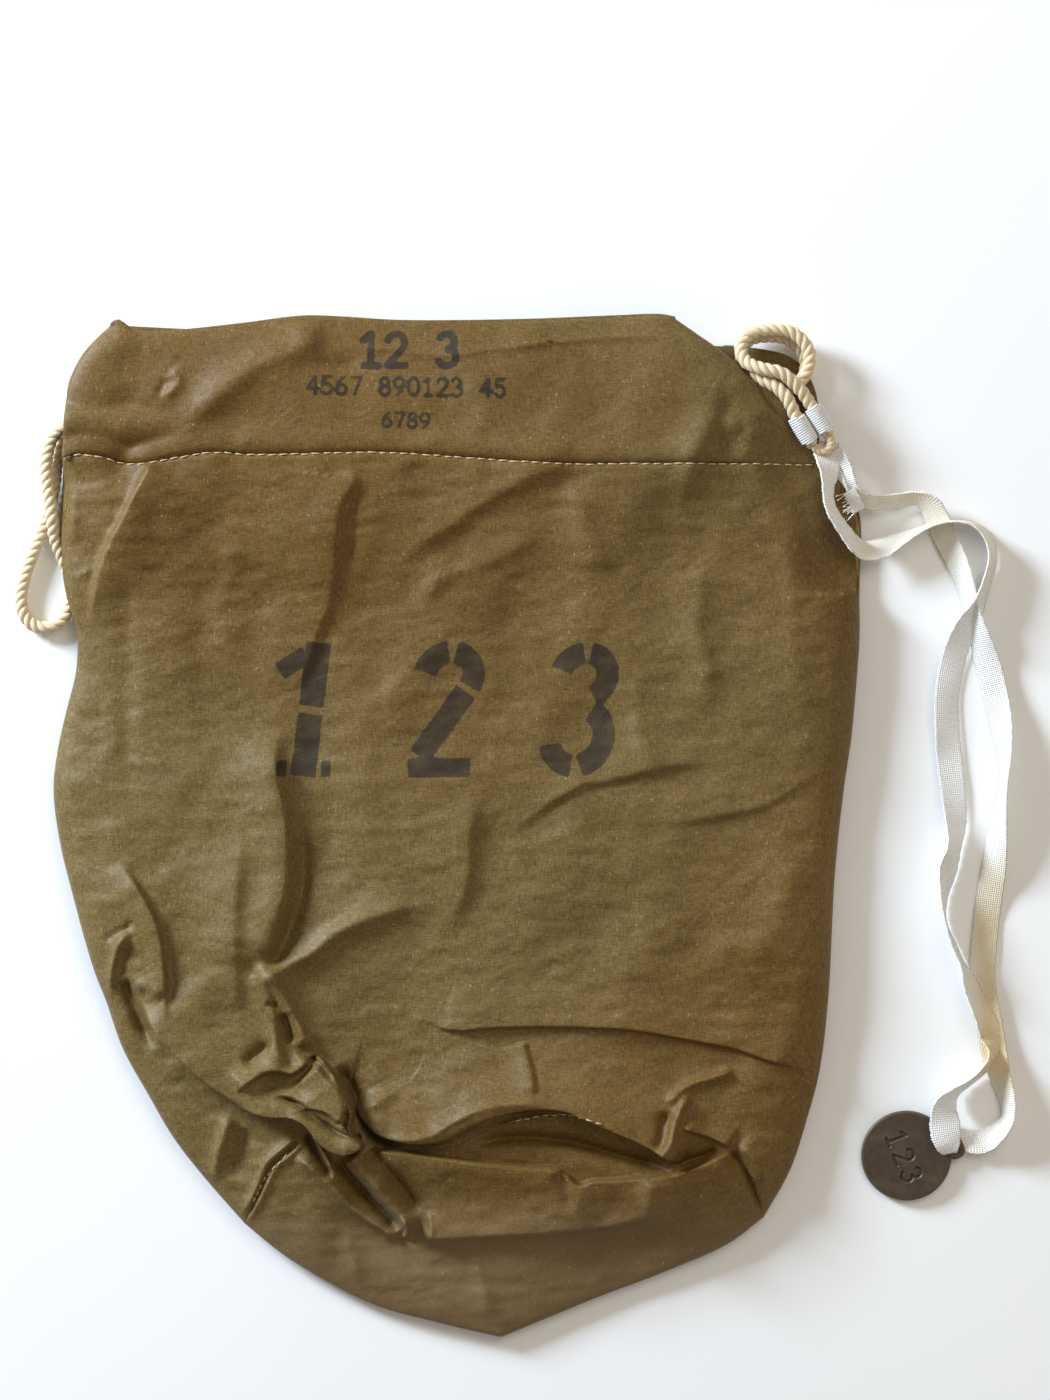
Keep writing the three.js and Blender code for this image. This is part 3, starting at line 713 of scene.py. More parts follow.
# ---------------------------------------------------------------- tape
# Each entry is x, y, the height of the tape's lower edge, its width as seen from above, and its own width
# there: less than the full width where it is folded lengthwise.
TAPE_SEEN = [
    (170.6, 168.8, 10.2, 6.0, 6.2), (168.2, 169.6, 9.6, 8.4, 8.6), (166.0, 168.2, 9.6, 11.4, 11.6),
    (166.2, 163.8, 10.4, 10.4, 11.6), (166.6, 158.4, 11.8, 8.0, 10.0), (166.0, 152.2, 12.8, 5.2, 7.6),
    (166.2, 146.6, 14.0, 4.6, 7.0), (167.8, 141.4, 14.6, 4.8, 6.8), (171.2, 136.0, 14.0, 5.2, 7.0),
    (175.0, 131.0, 12.0, 6.0, 7.6), (178.6, 126.8, 9.6, 6.8, 8.6), (183.6, 124.0, 6.4, 8.4, 10.2),
    (190.6, 125.4, 2.6, 9.2, 11.6), (199, 129.6, 1.2, 6.0, 11.6), (207, 133.6, 0.6, 3.0, 11.6),
    (214.6, 136.4, 0.6, 1.4, 11.6), (223.3, 137.7, 0.6, 1.3, 11.6), (231.6, 136.2, 0.5, 2.2, 11.6),
    (238.0, 130.6, 0.5, 4.0, 11.6), (240.4, 121.7, 0.5, 4.3, 11.6), (238.2, 111.4, 0.7, 4.3, 11.6),
    (234.5, 101, 1.6, 5.6, 11.6), (230.0, 92, 1.2, 9.6, 11.6), (225.6, 82, 0.7, 10.8, 11.6),
    (222.6, 72, 0.5, 11.2, 11.6), (220.5, 58, 0.4, 10.9, 11.6), (220.7, 44, 0.4, 10.9, 11.6),
    (221.6, 30, 0.4, 11.4, 11.6), (223.4, 14, 0.4, 10.9, 11.6), (224.2, 2, 0.4, 9.4, 11.6),
    (223.4, -8.9, 0.4, 6.6, 11.6), (220.9, -18.7, 0.4, 8.4, 11.6), (219.2, -30, 0.4, 4.3, 11.6),
    (219.9, -42, 0.4, 1.2, 11.6), (223.6, -53, 0.4, 2.6, 11.6), (227.6, -62.6, 0.6, 3.0, 11.6),
    (231.6, -73, 1.2, 7.4, 10.0), (236.8, -85, 1.8, 9.0, 11.2), (240.4, -94.6, 1.9, 10.4, 11.6),
    (240.4, -103, 1.6, 4.6, 11.6), (236.4, -109.2, 1.0, 3.4, 11.6), (230.4, -114.6, 0.6, 3.2, 11.6),
    (223.5, -119.6, 1.6, 5.4, 11.6), (219.4, -126, 4.4, 11.4, 12.4), (219.2, -132.4, 5.4, 13.6, 13.8),
    (219.8, -138.0, 5.7, 13.6, 13.8), (220.8, -142.4, 5.4, 11.4, 11.6), (222.0, -145.8, 4.7, 7.0, 7.0),
    (222.4, -146.2, 3.9, 5.0, 5.0), (222.4, -143.6, 3.2, 5.0, 5.0), (222.6, -140.8, 2.9, 6.0, 6.0),
    (225.0, -139.6, 1.4, 7.6, 7.8), (228.4, -140.2, 0.7, 8.8, 9.2), (232.4, -141.4, 0.5, 10.4, 11.0),
    (237.2, -140.8, 0.5, 11.0, 11.6), (242.4, -137.2, 0.5, 8.4, 11.6), (247.0, -131.0, 0.5, 5.4, 11.6),
    (247.2, -123, 0.5, 6.4, 11.6), (244.6, -113, 0.4, 8.6, 11.6), (242.2, -103, 0.4, 10.8, 11.6),
    (240, -90, 0.4, 11.4, 11.6), (237.6, -77, 0.4, 11.4, 11.6), (236.4, -66, 0.4, 11.6, 11.6),
    (237.2, -54, 0.4, 11.6, 11.6), (238.6, -40, 0.4, 11.6, 11.6), (240.2, -27, 0.4, 11.4, 11.6),
    (241.4, -18.7, 0.4, 10.6, 11.6), (242.6, -8, 0.4, 8.8, 11.6), (243.8, 2, 0.4, 6.0, 11.6),
    (245.0, 11, 0.4, 3.4, 11.6), (246.3, 21, 0.4, 2.2, 11.6), (246.8, 31.4, 0.4, 4.3, 11.6),
    (245.8, 41, 0.4, 7.6, 11.6), (244.4, 50, 0.4, 9.8, 11.6), (241.8, 62, 0.4, 11.0, 11.6),
    (238.4, 75, 0.4, 10.8, 11.6), (234.6, 87, 0.4, 8.0, 11.6), (231.2, 98, 0.4, 6.0, 11.6),
    (229.0, 108, 0.4, 6.8, 11.6), (225.4, 118.4, 0.4, 9.2, 11.6), (220.7, 128.2, 0.5, 10.2, 11.6),
    (216.4, 138, 0.8, 10.4, 11.6), (212.4, 145.0, 1.8, 8.4, 11.0), (206.4, 147.8, 2.2, 5.6, 8.4),
    (198.6, 146.6, 2.4, 6.4, 7.8), (190.6, 145.6, 4.0, 6.8, 7.6), (184.0, 146.2, 6.4, 6.2, 7.2),
    (179.0, 149.8, 8.0, 5.4, 6.6), (176.2, 154.6, 9.0, 5.0, 6.4), (174.6, 160.4, 9.8, 5.2, 6.2),
    (172.0, 165.6, 10.4, 5.6, 6.2), (169.4, 169.0, 10.6, 5.6, 5.8),
]
TAPE_WIDTH, TAPE_THICK = 11.6, 0.55
TAPE_ROUTE = []
for x, y, edge, seen, own in TAPE_SEEN:
    turn = math.degrees(math.acos(min(seen / own, 1)))
    TAPE_ROUTE.append((x, y, edge + TAPE_THICK / 2 + own / 2 * math.sin(math.radians(turn)), turn, own))
tape_line = resample(catmull(TAPE_ROUTE), step=0.9)


def ribbon(line, width, thickness):
    """A flat tape: level across wherever its turn is 0, with slightly thicker edges."""
    p, turn = line[:, :3], np.radians(line[:, 3])
    t = tangents(p)
    across = np.column_stack([t[:, 1], -t[:, 0], np.zeros(len(t))])
    last = across[0]
    for i in range(1, len(across)):
        if across[i].dot(last) < 0:
            across[i] *= -1
        if np.linalg.norm(across[i]) > 0.4:
            last = across[i]
    kernel = np.hanning(13)[1:-1]
    kernel /= kernel.sum()
    padded = np.vstack([across[:1]] * 5 + [across] + [across[-1:]] * 5)
    across = np.column_stack([np.convolve(padded[:, k], kernel, "valid") for k in range(3)])
    across /= np.maximum(np.linalg.norm(across, axis=1), 1e-6)[:, None]
    across -= t * (across * t).sum(1)[:, None]
    across /= np.maximum(np.linalg.norm(across, axis=1), 1e-6)[:, None]
    up = np.cross(across, t)
    side = np.cos(turn)[:, None] * across + np.sin(turn)[:, None] * up
    normal = np.cross(side, t)
    s = lengths(p)
    u = np.linspace(-1, 1, 15)
    width = line[:, 4][:, None]
    thickness = thickness * (1 + 0.9 * (1 - width / TAPE_WIDTH))
    edge = (np.abs(u) > 0.86) * 0.14
    curl = 0.35 * np.sin(s / 17)[:, None] * (u ** 2)[None, :]
    wander = 0.16 * (np.sin(s * 2.9) + np.sin(s * 1.13))[:, None] * np.abs(u)[None, :] ** 6
    rows = []
    for face in (1, -1):
        offset = face * (thickness / 2 + edge[None, :]) + curl
        row = p[:, None] + side[:, None] * (u[None, :] * width / 2 + np.sign(u)[None, :] * wander)[..., None]
        row = row + normal[:, None] * offset[..., None]
        rows.append(row if face == 1 else row[:, ::-1])
    ring = np.concatenate(rows, axis=1)
    cols = ring.shape[1]
    faces = grid_faces(len(p), cols, wrap=True).tolist()
    for row in (0, len(p) - 1):
        start, end = row * cols, row * cols + cols
        cap = [[start + i, start + i + 1, end - 2 - i, end - 1 - i] for i in range(14)]
        faces += cap if row == 0 else [c[::-1] for c in cap]
    across_mm = np.concatenate([u, u[::-1]])[None, :] * width / 2
    fields = (across_mm.ravel(), np.repeat(s, cols))
    return ring.reshape(-1, 3), faces, fields


points, faces, (across_mm, along_mm) = ribbon(tape_line, TAPE_WIDTH, TAPE_THICK)


def warmth(p):
    """Where the tape has yellowed."""
    lower = np.clip((p[:, 0] - 229) / 8, 0, 1) * np.clip((-4 - p[:, 1]) / 26, 0, 1)
    lower *= np.clip((p[:, 1] + 128) / 16, 0.35, 1)
    upper = 0.4 * np.clip((p[:, 1] - 96) / 22, 0, 1) * np.clip((p[:, 0] - 172) / 10, 0.1, 1)
    return np.clip(lower + upper, 0, 1)


tape = make_mesh("cotton_tape", points, faces, TAPE,
                 extra=[("across", across_mm), ("along", along_mm), ("warmth", warmth(points))])
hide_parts("id_tape")


def frayed_end():
    """The tape's cut end beside its start: a short flap with a ragged slanting edge and loose threads."""
    rows, cols = 16, 22
    v, u = np.linspace(0, 1, rows)[:, None], np.linspace(0, 1, cols)[None, :]
    start, side = np.array([175.4, 151.6]), np.array([5.2, -9.8])
    reach = np.array([5.2, 1.4])
    ragged = 1 + 0.12 * np.sin(u * 31) + 0.08 * np.sin(u * 57 + 1)
    plan = start + u[..., None] * side * 0.92 + (v * ragged)[..., None] * -reach
    plan = plan + 1.6 * v[..., None] * np.array([0, -1])
    plan = plan + reach * 0.6
    height = 12.4 - 2.6 * u + 0.6 * np.sin(u * 4 + v * 2) - 0.5 * v
    top = np.dstack([plan, np.broadcast_to(height, plan.shape[:2])])
    faces = grid_faces(rows, cols)[:, ::-1].tolist() + grid_faces(rows, cols, rows * cols).tolist()
    border = list(range(cols)) + [r * cols + cols - 1 for r in range(1, rows)]
    border += [(rows - 1) * cols + c for c in range(cols - 2, -1, -1)]
    border += [r * cols for r in range(rows - 2, 0, -1)]
    for a, b in zip(border, border[1:] + border[:1]):
        faces.append([a, b, b + rows * cols, a + rows * cols])
    points = np.vstack([(top + np.array([0, 0, z])).reshape(-1, 3) for z in (0.25, -0.25)])
    across = np.tile(np.broadcast_to(u * 11.6, (rows, cols)).ravel(), 2)
    along = np.tile(np.broadcast_to(v * 6, (rows, cols)).ravel(), 2)
    for _ in range(15):
        base = top[-1, int(rng.integers(0, cols))]
        step = np.array([-0.8 + rng.uniform(-0.5, 0.3), -0.5 + rng.uniform(-0.6, 0.4), -0.1])
        bend = np.array([rng.uniform(-0.3, 0.3), rng.uniform(-0.3, 0.3), -0.1])
        thread = np.array([base + step * t * 1.7 + bend * t * t for t in np.linspace(-0.3, 1.5, 6)])
        p, f, _ = tube(thread, 0.13, 5)
        faces += [[i + len(points) for i in face] for face in f]
        points = np.vstack([points, p])
        across = np.append(across, np.full(len(p), 0.4))
        along = np.append(along, np.full(len(p), 0.4))
    return make_mesh("frayed_tape_end", points, faces, TAPE,
                     extra=[("across", across), ("along", along), ("warmth", np.full(len(points), 0.05))])


frayed = frayed_end()

# ---------------------------------------------------------------- sack: outlines
LEFT_SIDE = [
    (-95, -178), (-113, -157.5), (-127, -139.5), (-139, -119), (-150, -99), (-157, -79), (-163, -63.5),
    (-174, -24), (-178, -7), (-181, 17), (-179, 35), (-175, 53), (-171, 69), (-170, 82), (-170, 88),
    (-173.5, 99), (-176, 110), (-177, 125), (-177.5, 139), (-176, 165),
]
RIGHT_SIDE = [
    (138, -175), (150, -153.5), (158, -129), (163, -110), (167, -77), (170, -21), (174, 17), (177.5, 41),
    (179, 57), (181, 84), (181, 106), (181, 140), (177, 148), (171.5, 156), (165, 163),
]
TIP_LINE = [
    (-95, -178), (-79, -191), (-70, -197), (-38, -214), (-6, -223), (20, -229), (66, -210), (90, -201),
    (122, -187), (138, -175),
]
SEAM = [
    (-95, -178), (-91, -168), (-85, -156), (-75, -145.5), (-60, -143), (-38, -142), (-22, -144), (-6, -143.5),
    (13, -136), (26, -132), (39, -129), (52, -129), (70, -134), (88, -142), (104, -147), (122, -146),
    (129, -153), (134, -163), (138, -175),
]
HEM = [
    (-176, 165), (-171, 167), (-158, 166), (-146, 163), (-108, 168), (-93, 167), (-33, 168), (-15, 167),
    (46, 163), (83, 163), (165, 163),
]
TOP_FRONT = [
    (-154.4, 224.6), (-151.2, 226.4), (-148, 224.6), (-143.4, 221.4), (-138, 220.8), (-124, 221.6),
    (-96, 224.6), (-68, 228), (-52, 227.6), (-25, 226), (29, 226.4), (70, 228), (92, 228.6), (98, 227.4),
]
CASING_LEFT = [
    (-176, 165), (-175, 181), (-174, 192), (-173, 199), (-167.5, 211), (-161, 218.6), (-154.4, 224.6),
]
DIAGONAL = [
    (165, 163), (159.5, 168.5), (150, 179), (141, 188), (131, 202), (118, 213.6), (108, 220.6), (98, 227.4),
]
BACK_TOP = [(-154.4, 224.6), (-106, 222.6), (-25, 224.6), (60, 225.4), (104, 220)]
BACK_RIGHT = [
    (165, 163), (162, 176), (162.6, 189), (160.8, 198), (156, 206.5), (149, 212), (139, 214.8), (127, 216),
    (116, 216), (104, 220),
]


def edge_line(points, count):
    return resample(catmull(points, 8), count=count)


def spread(count, focus):
    """Numbers from 0 to 1, closer together near both ends and, by focus's last number, between its others."""
    t = np.linspace(0, 1, 2001)
    low, high, extra = focus
    weight = 1 + 0.5 * np.cos(np.pi * t * 2) ** 2 * ((t < 0.25) | (t > 0.75))
    weight += extra * smooth01(t, low - 0.06, low + 0.02) * (1 - smooth01(t, high - 0.02, high + 0.06))
    total = np.concatenate([[0], np.cumsum((weight[1:] + weight[:-1]) / 2)])
    return np.interp(np.linspace(0, 1, count), total / total[-1], t)


def along(line, at):
    s = lengths(line)
    return np.column_stack([np.interp(at * s[-1], s, line[:, k]) for k in range(2)])


def coons(bottom, top, left, right, rows, cols, across=(0, 0, 0), up=(0, 0, 0)):
    """A grid of plan points that follows four edge lines. left and right run from bottom to top."""
    u, v = spread(cols, across), spread(rows, up)
    b, t = along(bottom, u), along(top, u)
    l, r = along(left, v), along(right, v)
    uu, vv = u[None, :, None], v[:, None, None]
    grid = (1 - vv) * b[None] + vv * t[None] + (1 - uu) * l[:, None] + uu * r[:, None]
    corners = ((1 - uu) * (1 - vv) * b[0] + uu * (1 - vv) * b[-1] + (1 - uu) * vv * t[0] + uu * vv * t[-1])
    return grid - corners


# ---------------------------------------------------------------- sack: folds
def ridge(height, left, right, fade_in, fade_out, *points):
    """A rounded fold along its crest, or a valley where the height is below 0."""
    return ("ridge", height, left, right, 0, fade_in, fade_out, points)


def lip(height, left, right, push, fade_in, fade_out, *points, kind="lip"):
    """A fold whose cloth rolls over on its narrow side. Its line is the edge that shows there."""
    return (kind, height, left, right, push, fade_in, fade_out, points)


# Widths are those on the left and the right of the line's direction. Fades are shares of the line's length.
FOLDS = [
    # the casing
    ridge(3.0, 8, 10, 0.15, 0.3, (-56, 221.5), (-65, 218), (-72, 213), (-80, 210), (-90, 206), (-97, 200),
        (-105, 194), (-115, 185), (-122, 178), (-127, 171)),
    ridge(1.2, 3, 2.4, 0.2, 0.3, (-128, 205), (-123.6, 200), (-127, 194.6), (-132, 192)),
    ridge(-1.0, 2.2, 2.2, 0.3, 0.3, (-130, 201), (-130.6, 197), (-134, 193)),
    ridge(-2.8, 9, 9, 0.35, 0.3, (-150, 200), (-149, 188), (-146, 178), (-148, 166), (-156, 150)),
    ridge(0.7, 2.4, 2.0, 0.15, 0.15, (-52, 212), (-42, 214), (-28, 213.6), (-10, 211), (2, 211.4),
        (16, 213.4), (40, 216.4), (70, 219), (82, 219.4), (95, 217), (104, 213)),
    ridge(-0.8, 4, 4, 0.3, 0.3, (-66, 208), (-54, 206), (-40, 209)),
    ridge(2.4, 7, 9, 0.3, 0.3, (126, 188), (114, 181), (107, 171), (103, 157), (99, 140)),
    ridge(-1.8, 5, 5, 0.3, 0.3, (124, 196), (120, 184), (120, 172), (124, 160)),
    ridge(1.6, 3, 3, 0.3, 0.1, (126, 178), (138, 174), (150, 170), (160, 166)),
    ridge(-1.4, 2.4, 2.4, 0.3, 0.1, (130, 184), (140, 178.6), (151, 173.6), (160, 169)),
    ridge(1.2, 9, 9, 0.3, 0.3, (60, 222), (74, 205), (90, 196), (96, 178)),
    ridge(1.4, 10, 10, 0.3, 0.3, (-6, 224), (10, 205), (12, 186), (4, 170)),
    # from the casing down the upper body
    lip(3.2, 15, 3.0, 0.6, 0.06, 0.25, (-137, 165), (-141, 158), (-146, 148), (-151, 138), (-157, 127),
        (-161, 117), (-163.4, 107), (-165.4, 97), (-168, 86)),
    ridge(2.2, 3.4, 4.4, 0.2, 0.3, (-173, 165), (-172.6, 150), (-172, 136), (-171, 122)),
    ridge(1.0, 2.2, 2.2, 0.3, 0.3, (-176, 112), (-168, 113), (-161, 117)),
    ridge(-1.6, 7, 8, 0.3, 0.3, (-146, 130), (-147, 100), (-147, 66), (-147, 30), (-143, 4)),
    lip(2.0, 3.6, 16, 0.3, 0.1, 0.25, (-44, 164), (-42.6, 155), (-46, 148), (-49.5, 142), (-50.6, 130),
        (-51.8, 115), (-54, 100), (-59, 88), (-62, 78), (-67, 66), (-78, 55)),
    ridge(-1.1, 3, 3, 0.2, 0.4, (-44, 150), (-45.6, 138), (-46.4, 124), (-47, 108)),
    ridge(2.6, 13, 6, 0.3, 0.2, (-34, 119), (-20, 126), (-5, 134), (8, 143), (22, 152), (40, 160), (56, 164)),
    ridge(1.5, 9, 5, 0.3, 0.3, (-17, 90), (-13, 104), (-6, 112), (8, 117), (25, 124), (44, 136)),
    ridge(1.8, 8, 9, 0.3, 0.3, (58, 158), (56, 144), (60, 128), (70, 112)),
    ridge(2.0, 7, 8, 0.3, 0.3, (112, 128), (109, 108), (107, 88), (112, 66), (108, 46)),
    ridge(1.6, 7, 8, 0.3, 0.3, (86, 78), (81, 58), (83, 38), (92, 20)),
    ridge(1.3, 8, 9, 0.3, 0.3, (146, 132), (150, 100), (152, 70), (160, 44)),
    ridge(1.6, 10, 10, 0.3, 0.3, (-108, 142), (-100, 118), (-104, 92), (-96, 66)),
    # under the numerals, right
    lip(2.0, 12, 2.2, 0.5, 0.3, 0.3, (24, -8), (33, 2), (42, 9), (50, 14), (58, 18), (66, 18.8), (78, 22),
        (90, 25), (105, 27), (118, 28)),
    lip(1.3, 12, 2.4, 0.4, 0.3, 0.35, (83, -2), (100, 1), (120, 4), (140, 9), (150, 15), (160, 21), (170, 25)),
    lip(2.1, 4.4, 15, 0.2, 0.3, 0.3, (15, 16), (11, 5), (9.5, -10), (8.4, -22), (5, -36), (-4, -48)),
    ridge(1.7, 12, 12, 0.3, 0.3, (152, -4), (146, -26), (138, -48), (128, -70)),
    ridge(1.3, 11, 11, 0.3, 0.3, (96, -14), (88, -34), (84, -56), (72, -76)),
    # the long ridge left of the middle, and its branches
    ridge(6.0, 5.0, 16, 0.2, 0.14, (-80, 46), (-81.5, 32), (-80, 18), (-77.6, 8), (-76.4, -4), (-76, -16),
        (-76.6, -26), (-79, -36), (-83, -48), (-85.6, -58), (-87, -66)),
    ridge(-3.0, 4.5, 4.5, 0.35, 0.1, (-69, 8), (-68.6, -10), (-69, -26), (-72.6, -40), (-78.6, -54),
        (-84.4, -64.6)),
    ridge(4.2, 6, 4.6, 0.1, 0.5, (-90, -69), (-84, -66), (-76, -61.6), (-65, -56), (-55, -48), (-44, -42),
        (-32, -38), (-16, -35), (2, -32)),
    ridge(3.4, 6, 16, 0.35, 0.25, (-96, 2), (-99, -30), (-99.6, -60), (-97, -90)),
    ridge(3.8, 3.4, 6, 0.25, 0.15, (-88, -57), (-86.6, -67), (-84, -76), (-81.4, -84), (-80.6, -92),
        (-79.6, -100), (-76, -107)),
    ridge(5.2, 5.0, 4.0, 0.3, 0.15, (-87, -59), (-81, -69), (-76, -77.6), (-71.6, -86), (-68, -94),
        (-66, -100)),
    ridge(-2.6, 2.6, 2.6, 0.2, 0.2, (-77.6, -82), (-75, -89), (-73.6, -96.6)),
    ridge(-1.8, 1.4, 1.4, 0.2, 0.2, (-84.6, -77.6), (-82, -78.8), (-79.4, -78.2)),
    ridge(-3.4, 3.2, 3.2, 0.3, 0.2, (-96, -105), (-90, -101.6), (-85.4, -98), (-81.6, -98.6)),
    lip(4.0, 5.5, 1.3, 0.5, 0.12, 0.1, (-97, -118), (-90.6, -113), (-84.6, -109.6), (-79, -109.2),
        (-73, -110.2), (-67.6, -106.8), (-64, -103)),
    # the left edge
    lip(3.6, 10, 2.2, 0.8, 0.25, 0.2, (-126.6, -88), (-127.8, -78), (-128.6, -66), (-129.6, -54), (-132, -43),
        (-136, -34), (-140.6, -26), (-150, -12)),
    ridge(3.2, 2.0, 2.6, 0.2, 0.2, (-144.6, -44.6), (-150, -51.6), (-153, -60), (-155, -70), (-155.6, -81)),
    ridge(-1.6, 4.5, 4.5, 0.3, 0.3, (-147, -52), (-149.4, -60), (-149.6, -68)),
    ridge(-1.6, 1.6, 1.6, 0.25, 0.25, (-159, -50.4), (-150, -46.6), (-143, -41)),
    ridge(-4.6, 2.8, 3.6, 0.1, 0.3, (-149, -67), (-146.6, -75), (-143.4, -83), (-140, -91), (-134, -100)),
    ridge(2.0, 6, 3, 0.3, 0.3, (-146, -73), (-138, -71), (-131, -77)),
    # the body's edge folded over the outer band, down to its tongue in the knot
    lip(8.0, 17, 1.2, 2.2, 0.16, 0.03, (-145.4, -75), (-140, -84.4), (-134, -93), (-128, -100), (-120, -108),
        (-110, -116), (-100, -122.6), (-92, -127.4), (-84, -129.6), (-73, -130), (-67.4, -133), (-63, -139),
        (-59, -143), (-54, -145.6), (-48, -146), (-43, -143.6), (-40.6, -140.6)),
    ridge(3.0, 4, 3.4, 0.2, 0.1, (-100.6, -127), (-104, -138), (-107, -148), (-109.4, -159)),
    ridge(-2.2, 6, 6, 0.2, 0.3, (-92, -134), (-97, -146), (-101, -158)),
    # the bunched knot
    ridge(-4.4, 1.5, 1.5, 0.1, 0.3, (-65, -102), (-62, -105.4), (-58.6, -109.6), (-55, -114)),
    lip(5.4, 1.3, 9, 0.8, 0.08, 0.1, (-63, -105), (-57.6, -111), (-53, -117), (-50.4, -123), (-50.4, -129),
        (-53, -132.6)),
    lip(7.0, 1.2, 3.6, 1.4, 0.12, 0.03, (-62, -99.6), (-56, -107), (-51.2, -115), (-47.6, -122),
        (-45.4, -128), (-46.6, -133.6), (-43, -138.4), (-41, -141)),
    ridge(-6.0, 4.5, 2.0, 0.15, 0.3, (-54, -106), (-47.6, -116), (-42.6, -125), (-39.4, -133), (-34, -139),
        (-22, -143)),
    ridge(-4.6, 1.2, 1.2, 0.2, 0.05, (-82, -119.6), (-75, -121), (-69, -123.6), (-62, -129), (-54, -134.6),
        (-48, -137.6), (-42.6, -139.6)),
    ridge(3.4, 3.0, 3.0, 0.25, 0.1, (-76, -126), (-68, -129), (-60, -135.6), (-53, -140.6), (-46, -142)),
    ridge(-2.4, 5, 5, 0.3, 0.3, (-90, -116), (-80, -114.6), (-71, -116), (-64, -122)),
    # the pouch below it
    ridge(-4.2, 1.7, 1.9, 0.1, 0.2, (-67, -136), (-63.4, -143.6), (-58.6, -151.4), (-55.6, -157)),
    ridge(3.2, 1.3, 1.3, 0.1, 0.2, (-64, -135), (-59.6, -143.6), (-56, -151), (-52.4, -158)),
    ridge(3.8, 3.4, 2.6, 0.12, 0.12, (-73, -147), (-67, -149.6), (-62, -154), (-57, -158.6), (-53, -162.8),
        (-47, -169.4), (-40, -174.8), (-32, -180), (-24.6, -184.4)),
    ridge(-5.4, 2.7, 2.9, 0.1, 0.12, (-53.6, -148), (-49, -154), (-43, -161.4), (-36.4, -168.6), (-30, -175),
        (-25.4, -180.6)),
    ridge(6.0, 5.6, 3.6, 0.08, 0.14, (-48.6, -146), (-41.6, -154), (-35, -161.6), (-28, -170), (-22, -177),
        (-18.6, -181)),
    ridge(-3.6, 3.2, 3.0, 0.1, 0.25, (-38.6, -143), (-30.6, -153), (-22.6, -163), (-15.6, -173)),
    ridge(2.4, 1.2, 1.2, 0.2, 0.3, (-23.6, -185), (-21.6, -178.6), (-25, -172.6)),
    ridge(1.6, 2, 2, 0.3, 0.3, (-12.6, -170), (-11, -178), (-12, -186)),
    # across the lower body
    lip(2.3, 12, 1.0, 0.7, 0.15, 0.1, (-20, -86.6), (-12, -88), (-6, -90.4), (2, -91), (12, -90), (25, -89.4),
        (45, -89.4), (65, -89.9), (80, -91), (95, -93.6), (110, -96.4), (125, -99.6), (140, -104.6),
        (152, -107.6), (160, -109)),
    lip(1.8, 6, 1.2, 0.4, 0.3, 0.06, (36, -121), (35, -112), (33, -103), (31, -95)),
    lip(7.0, 15, 1.0, 2.2, 0.05, 0.06, (-48, -121), (-42.6, -130.6), (-36, -137), (-28, -140), (-14, -141.6),
        (-4, -139.6), (6, -134.4), (16, -130), (26, -127.4), (38, -126), (48, -127), (58, -131.2),
        (70, -136.2), (80, -140.6), (90, -146), (101, -153)),
    ridge(1.5, 1.5, 1.5, 0.15, 0.2, (-33, -135.4), (-20, -137), (-10, -135.4), (-2, -131), (8, -126),
        (18, -123), (34, -121.4), (44, -122.4)),
    ridge(-1.6, 0.9, 0.9, 0.15, 0.2, (-30, -138.4), (-15, -139), (-5, -136.6), (5, -131.8), (15, -127.6),
        (25, -125.2), (38, -124), (47, -125.4)),
    ridge(-5.0, 3.4, 2.6, 0.2, 0.15, (4, -142), (24, -139), (46, -140), (70, -146), (98, -153.6)),
    ridge(1.2, 1.4, 1.4, 0.3, 0.3, (14, -136), (24, -131.6), (34, -129.6), (46, -129.6)),
    lip(5.2, 1.0, 14, 1.2, 0.05, 0.05, (-40, -143.4), (-30, -144), (-18, -145), (-5, -146.6), (8, -148.6),
        (20, -150), (35, -151.2), (45, -151.8), (50, -154.6), (55.6, -159), (60, -157.2), (72, -156.6),
        (85, -155.2), (97, -154), (108, -150.4), (118, -146), (123, -143.6)),
    ridge(-1.6, 3, 3, 0.1, 0.4, (45, -154), (49, -163), (52, -173)),
    ridge(1.8, 5, 5, 0.2, 0.4, (88, -157), (86, -166), (82, -174)),
    lip(4.6, 16, 3.2, 0.8, 0.1, 0.2, (-20, -186), (-8, -186.4), (5, -185.8), (20, -184.8), (40, -183.8),
        (55, -182.2), (70, -180.6), (85, -176.6), (95, -171.6), (103, -165), (109, -160), kind="softlip"),
    ridge(3.8, 1.8, 2.4, 0.1, 0.15, (91, -146), (95.4, -140.6), (97, -134), (99.4, -127), (104, -118)),
    ridge(2.8, 1.8, 3.2, 0.15, 0.15, (94, -124), (99, -118), (105, -114.4), (114, -111.6), (125, -108)),
    ridge(-2.6, 3, 3, 0.2, 0.3, (91, -143), (92.4, -134), (95, -125)),
    lip(2.6, 6, 1.0, 0.6, 0.2, 0.1, (99, -134), (108, -137), (116, -140), (122, -143.4)),
    ridge(-2.4, 2.4, 2.4, 0.2, 0.2, (98, -150.6), (108, -147.6), (118, -143.6)),
    ridge(-2.8, 1.3, 1.3, 0.1, 0.05, (122, -144), (127, -149), (131, -157), (134, -165), (137, -173)),
    ridge(2.2, 4, 4, 0.2, 0.3, (126, -140), (135, -150), (141, -162)),
    ridge(1.4, 5, 5, 0.3, 0.3, (6, -190), (12, -206), (16, -222)),
    ridge(1.3, 5, 5, 0.3, 0.3, (-50, -178), (-46, -194), (-44, -206)),
    ridge(1.2, 6, 6, 0.3, 0.3, (62, -186), (66, -196), (64, -206)),
    # along the stitched seam at the lower left
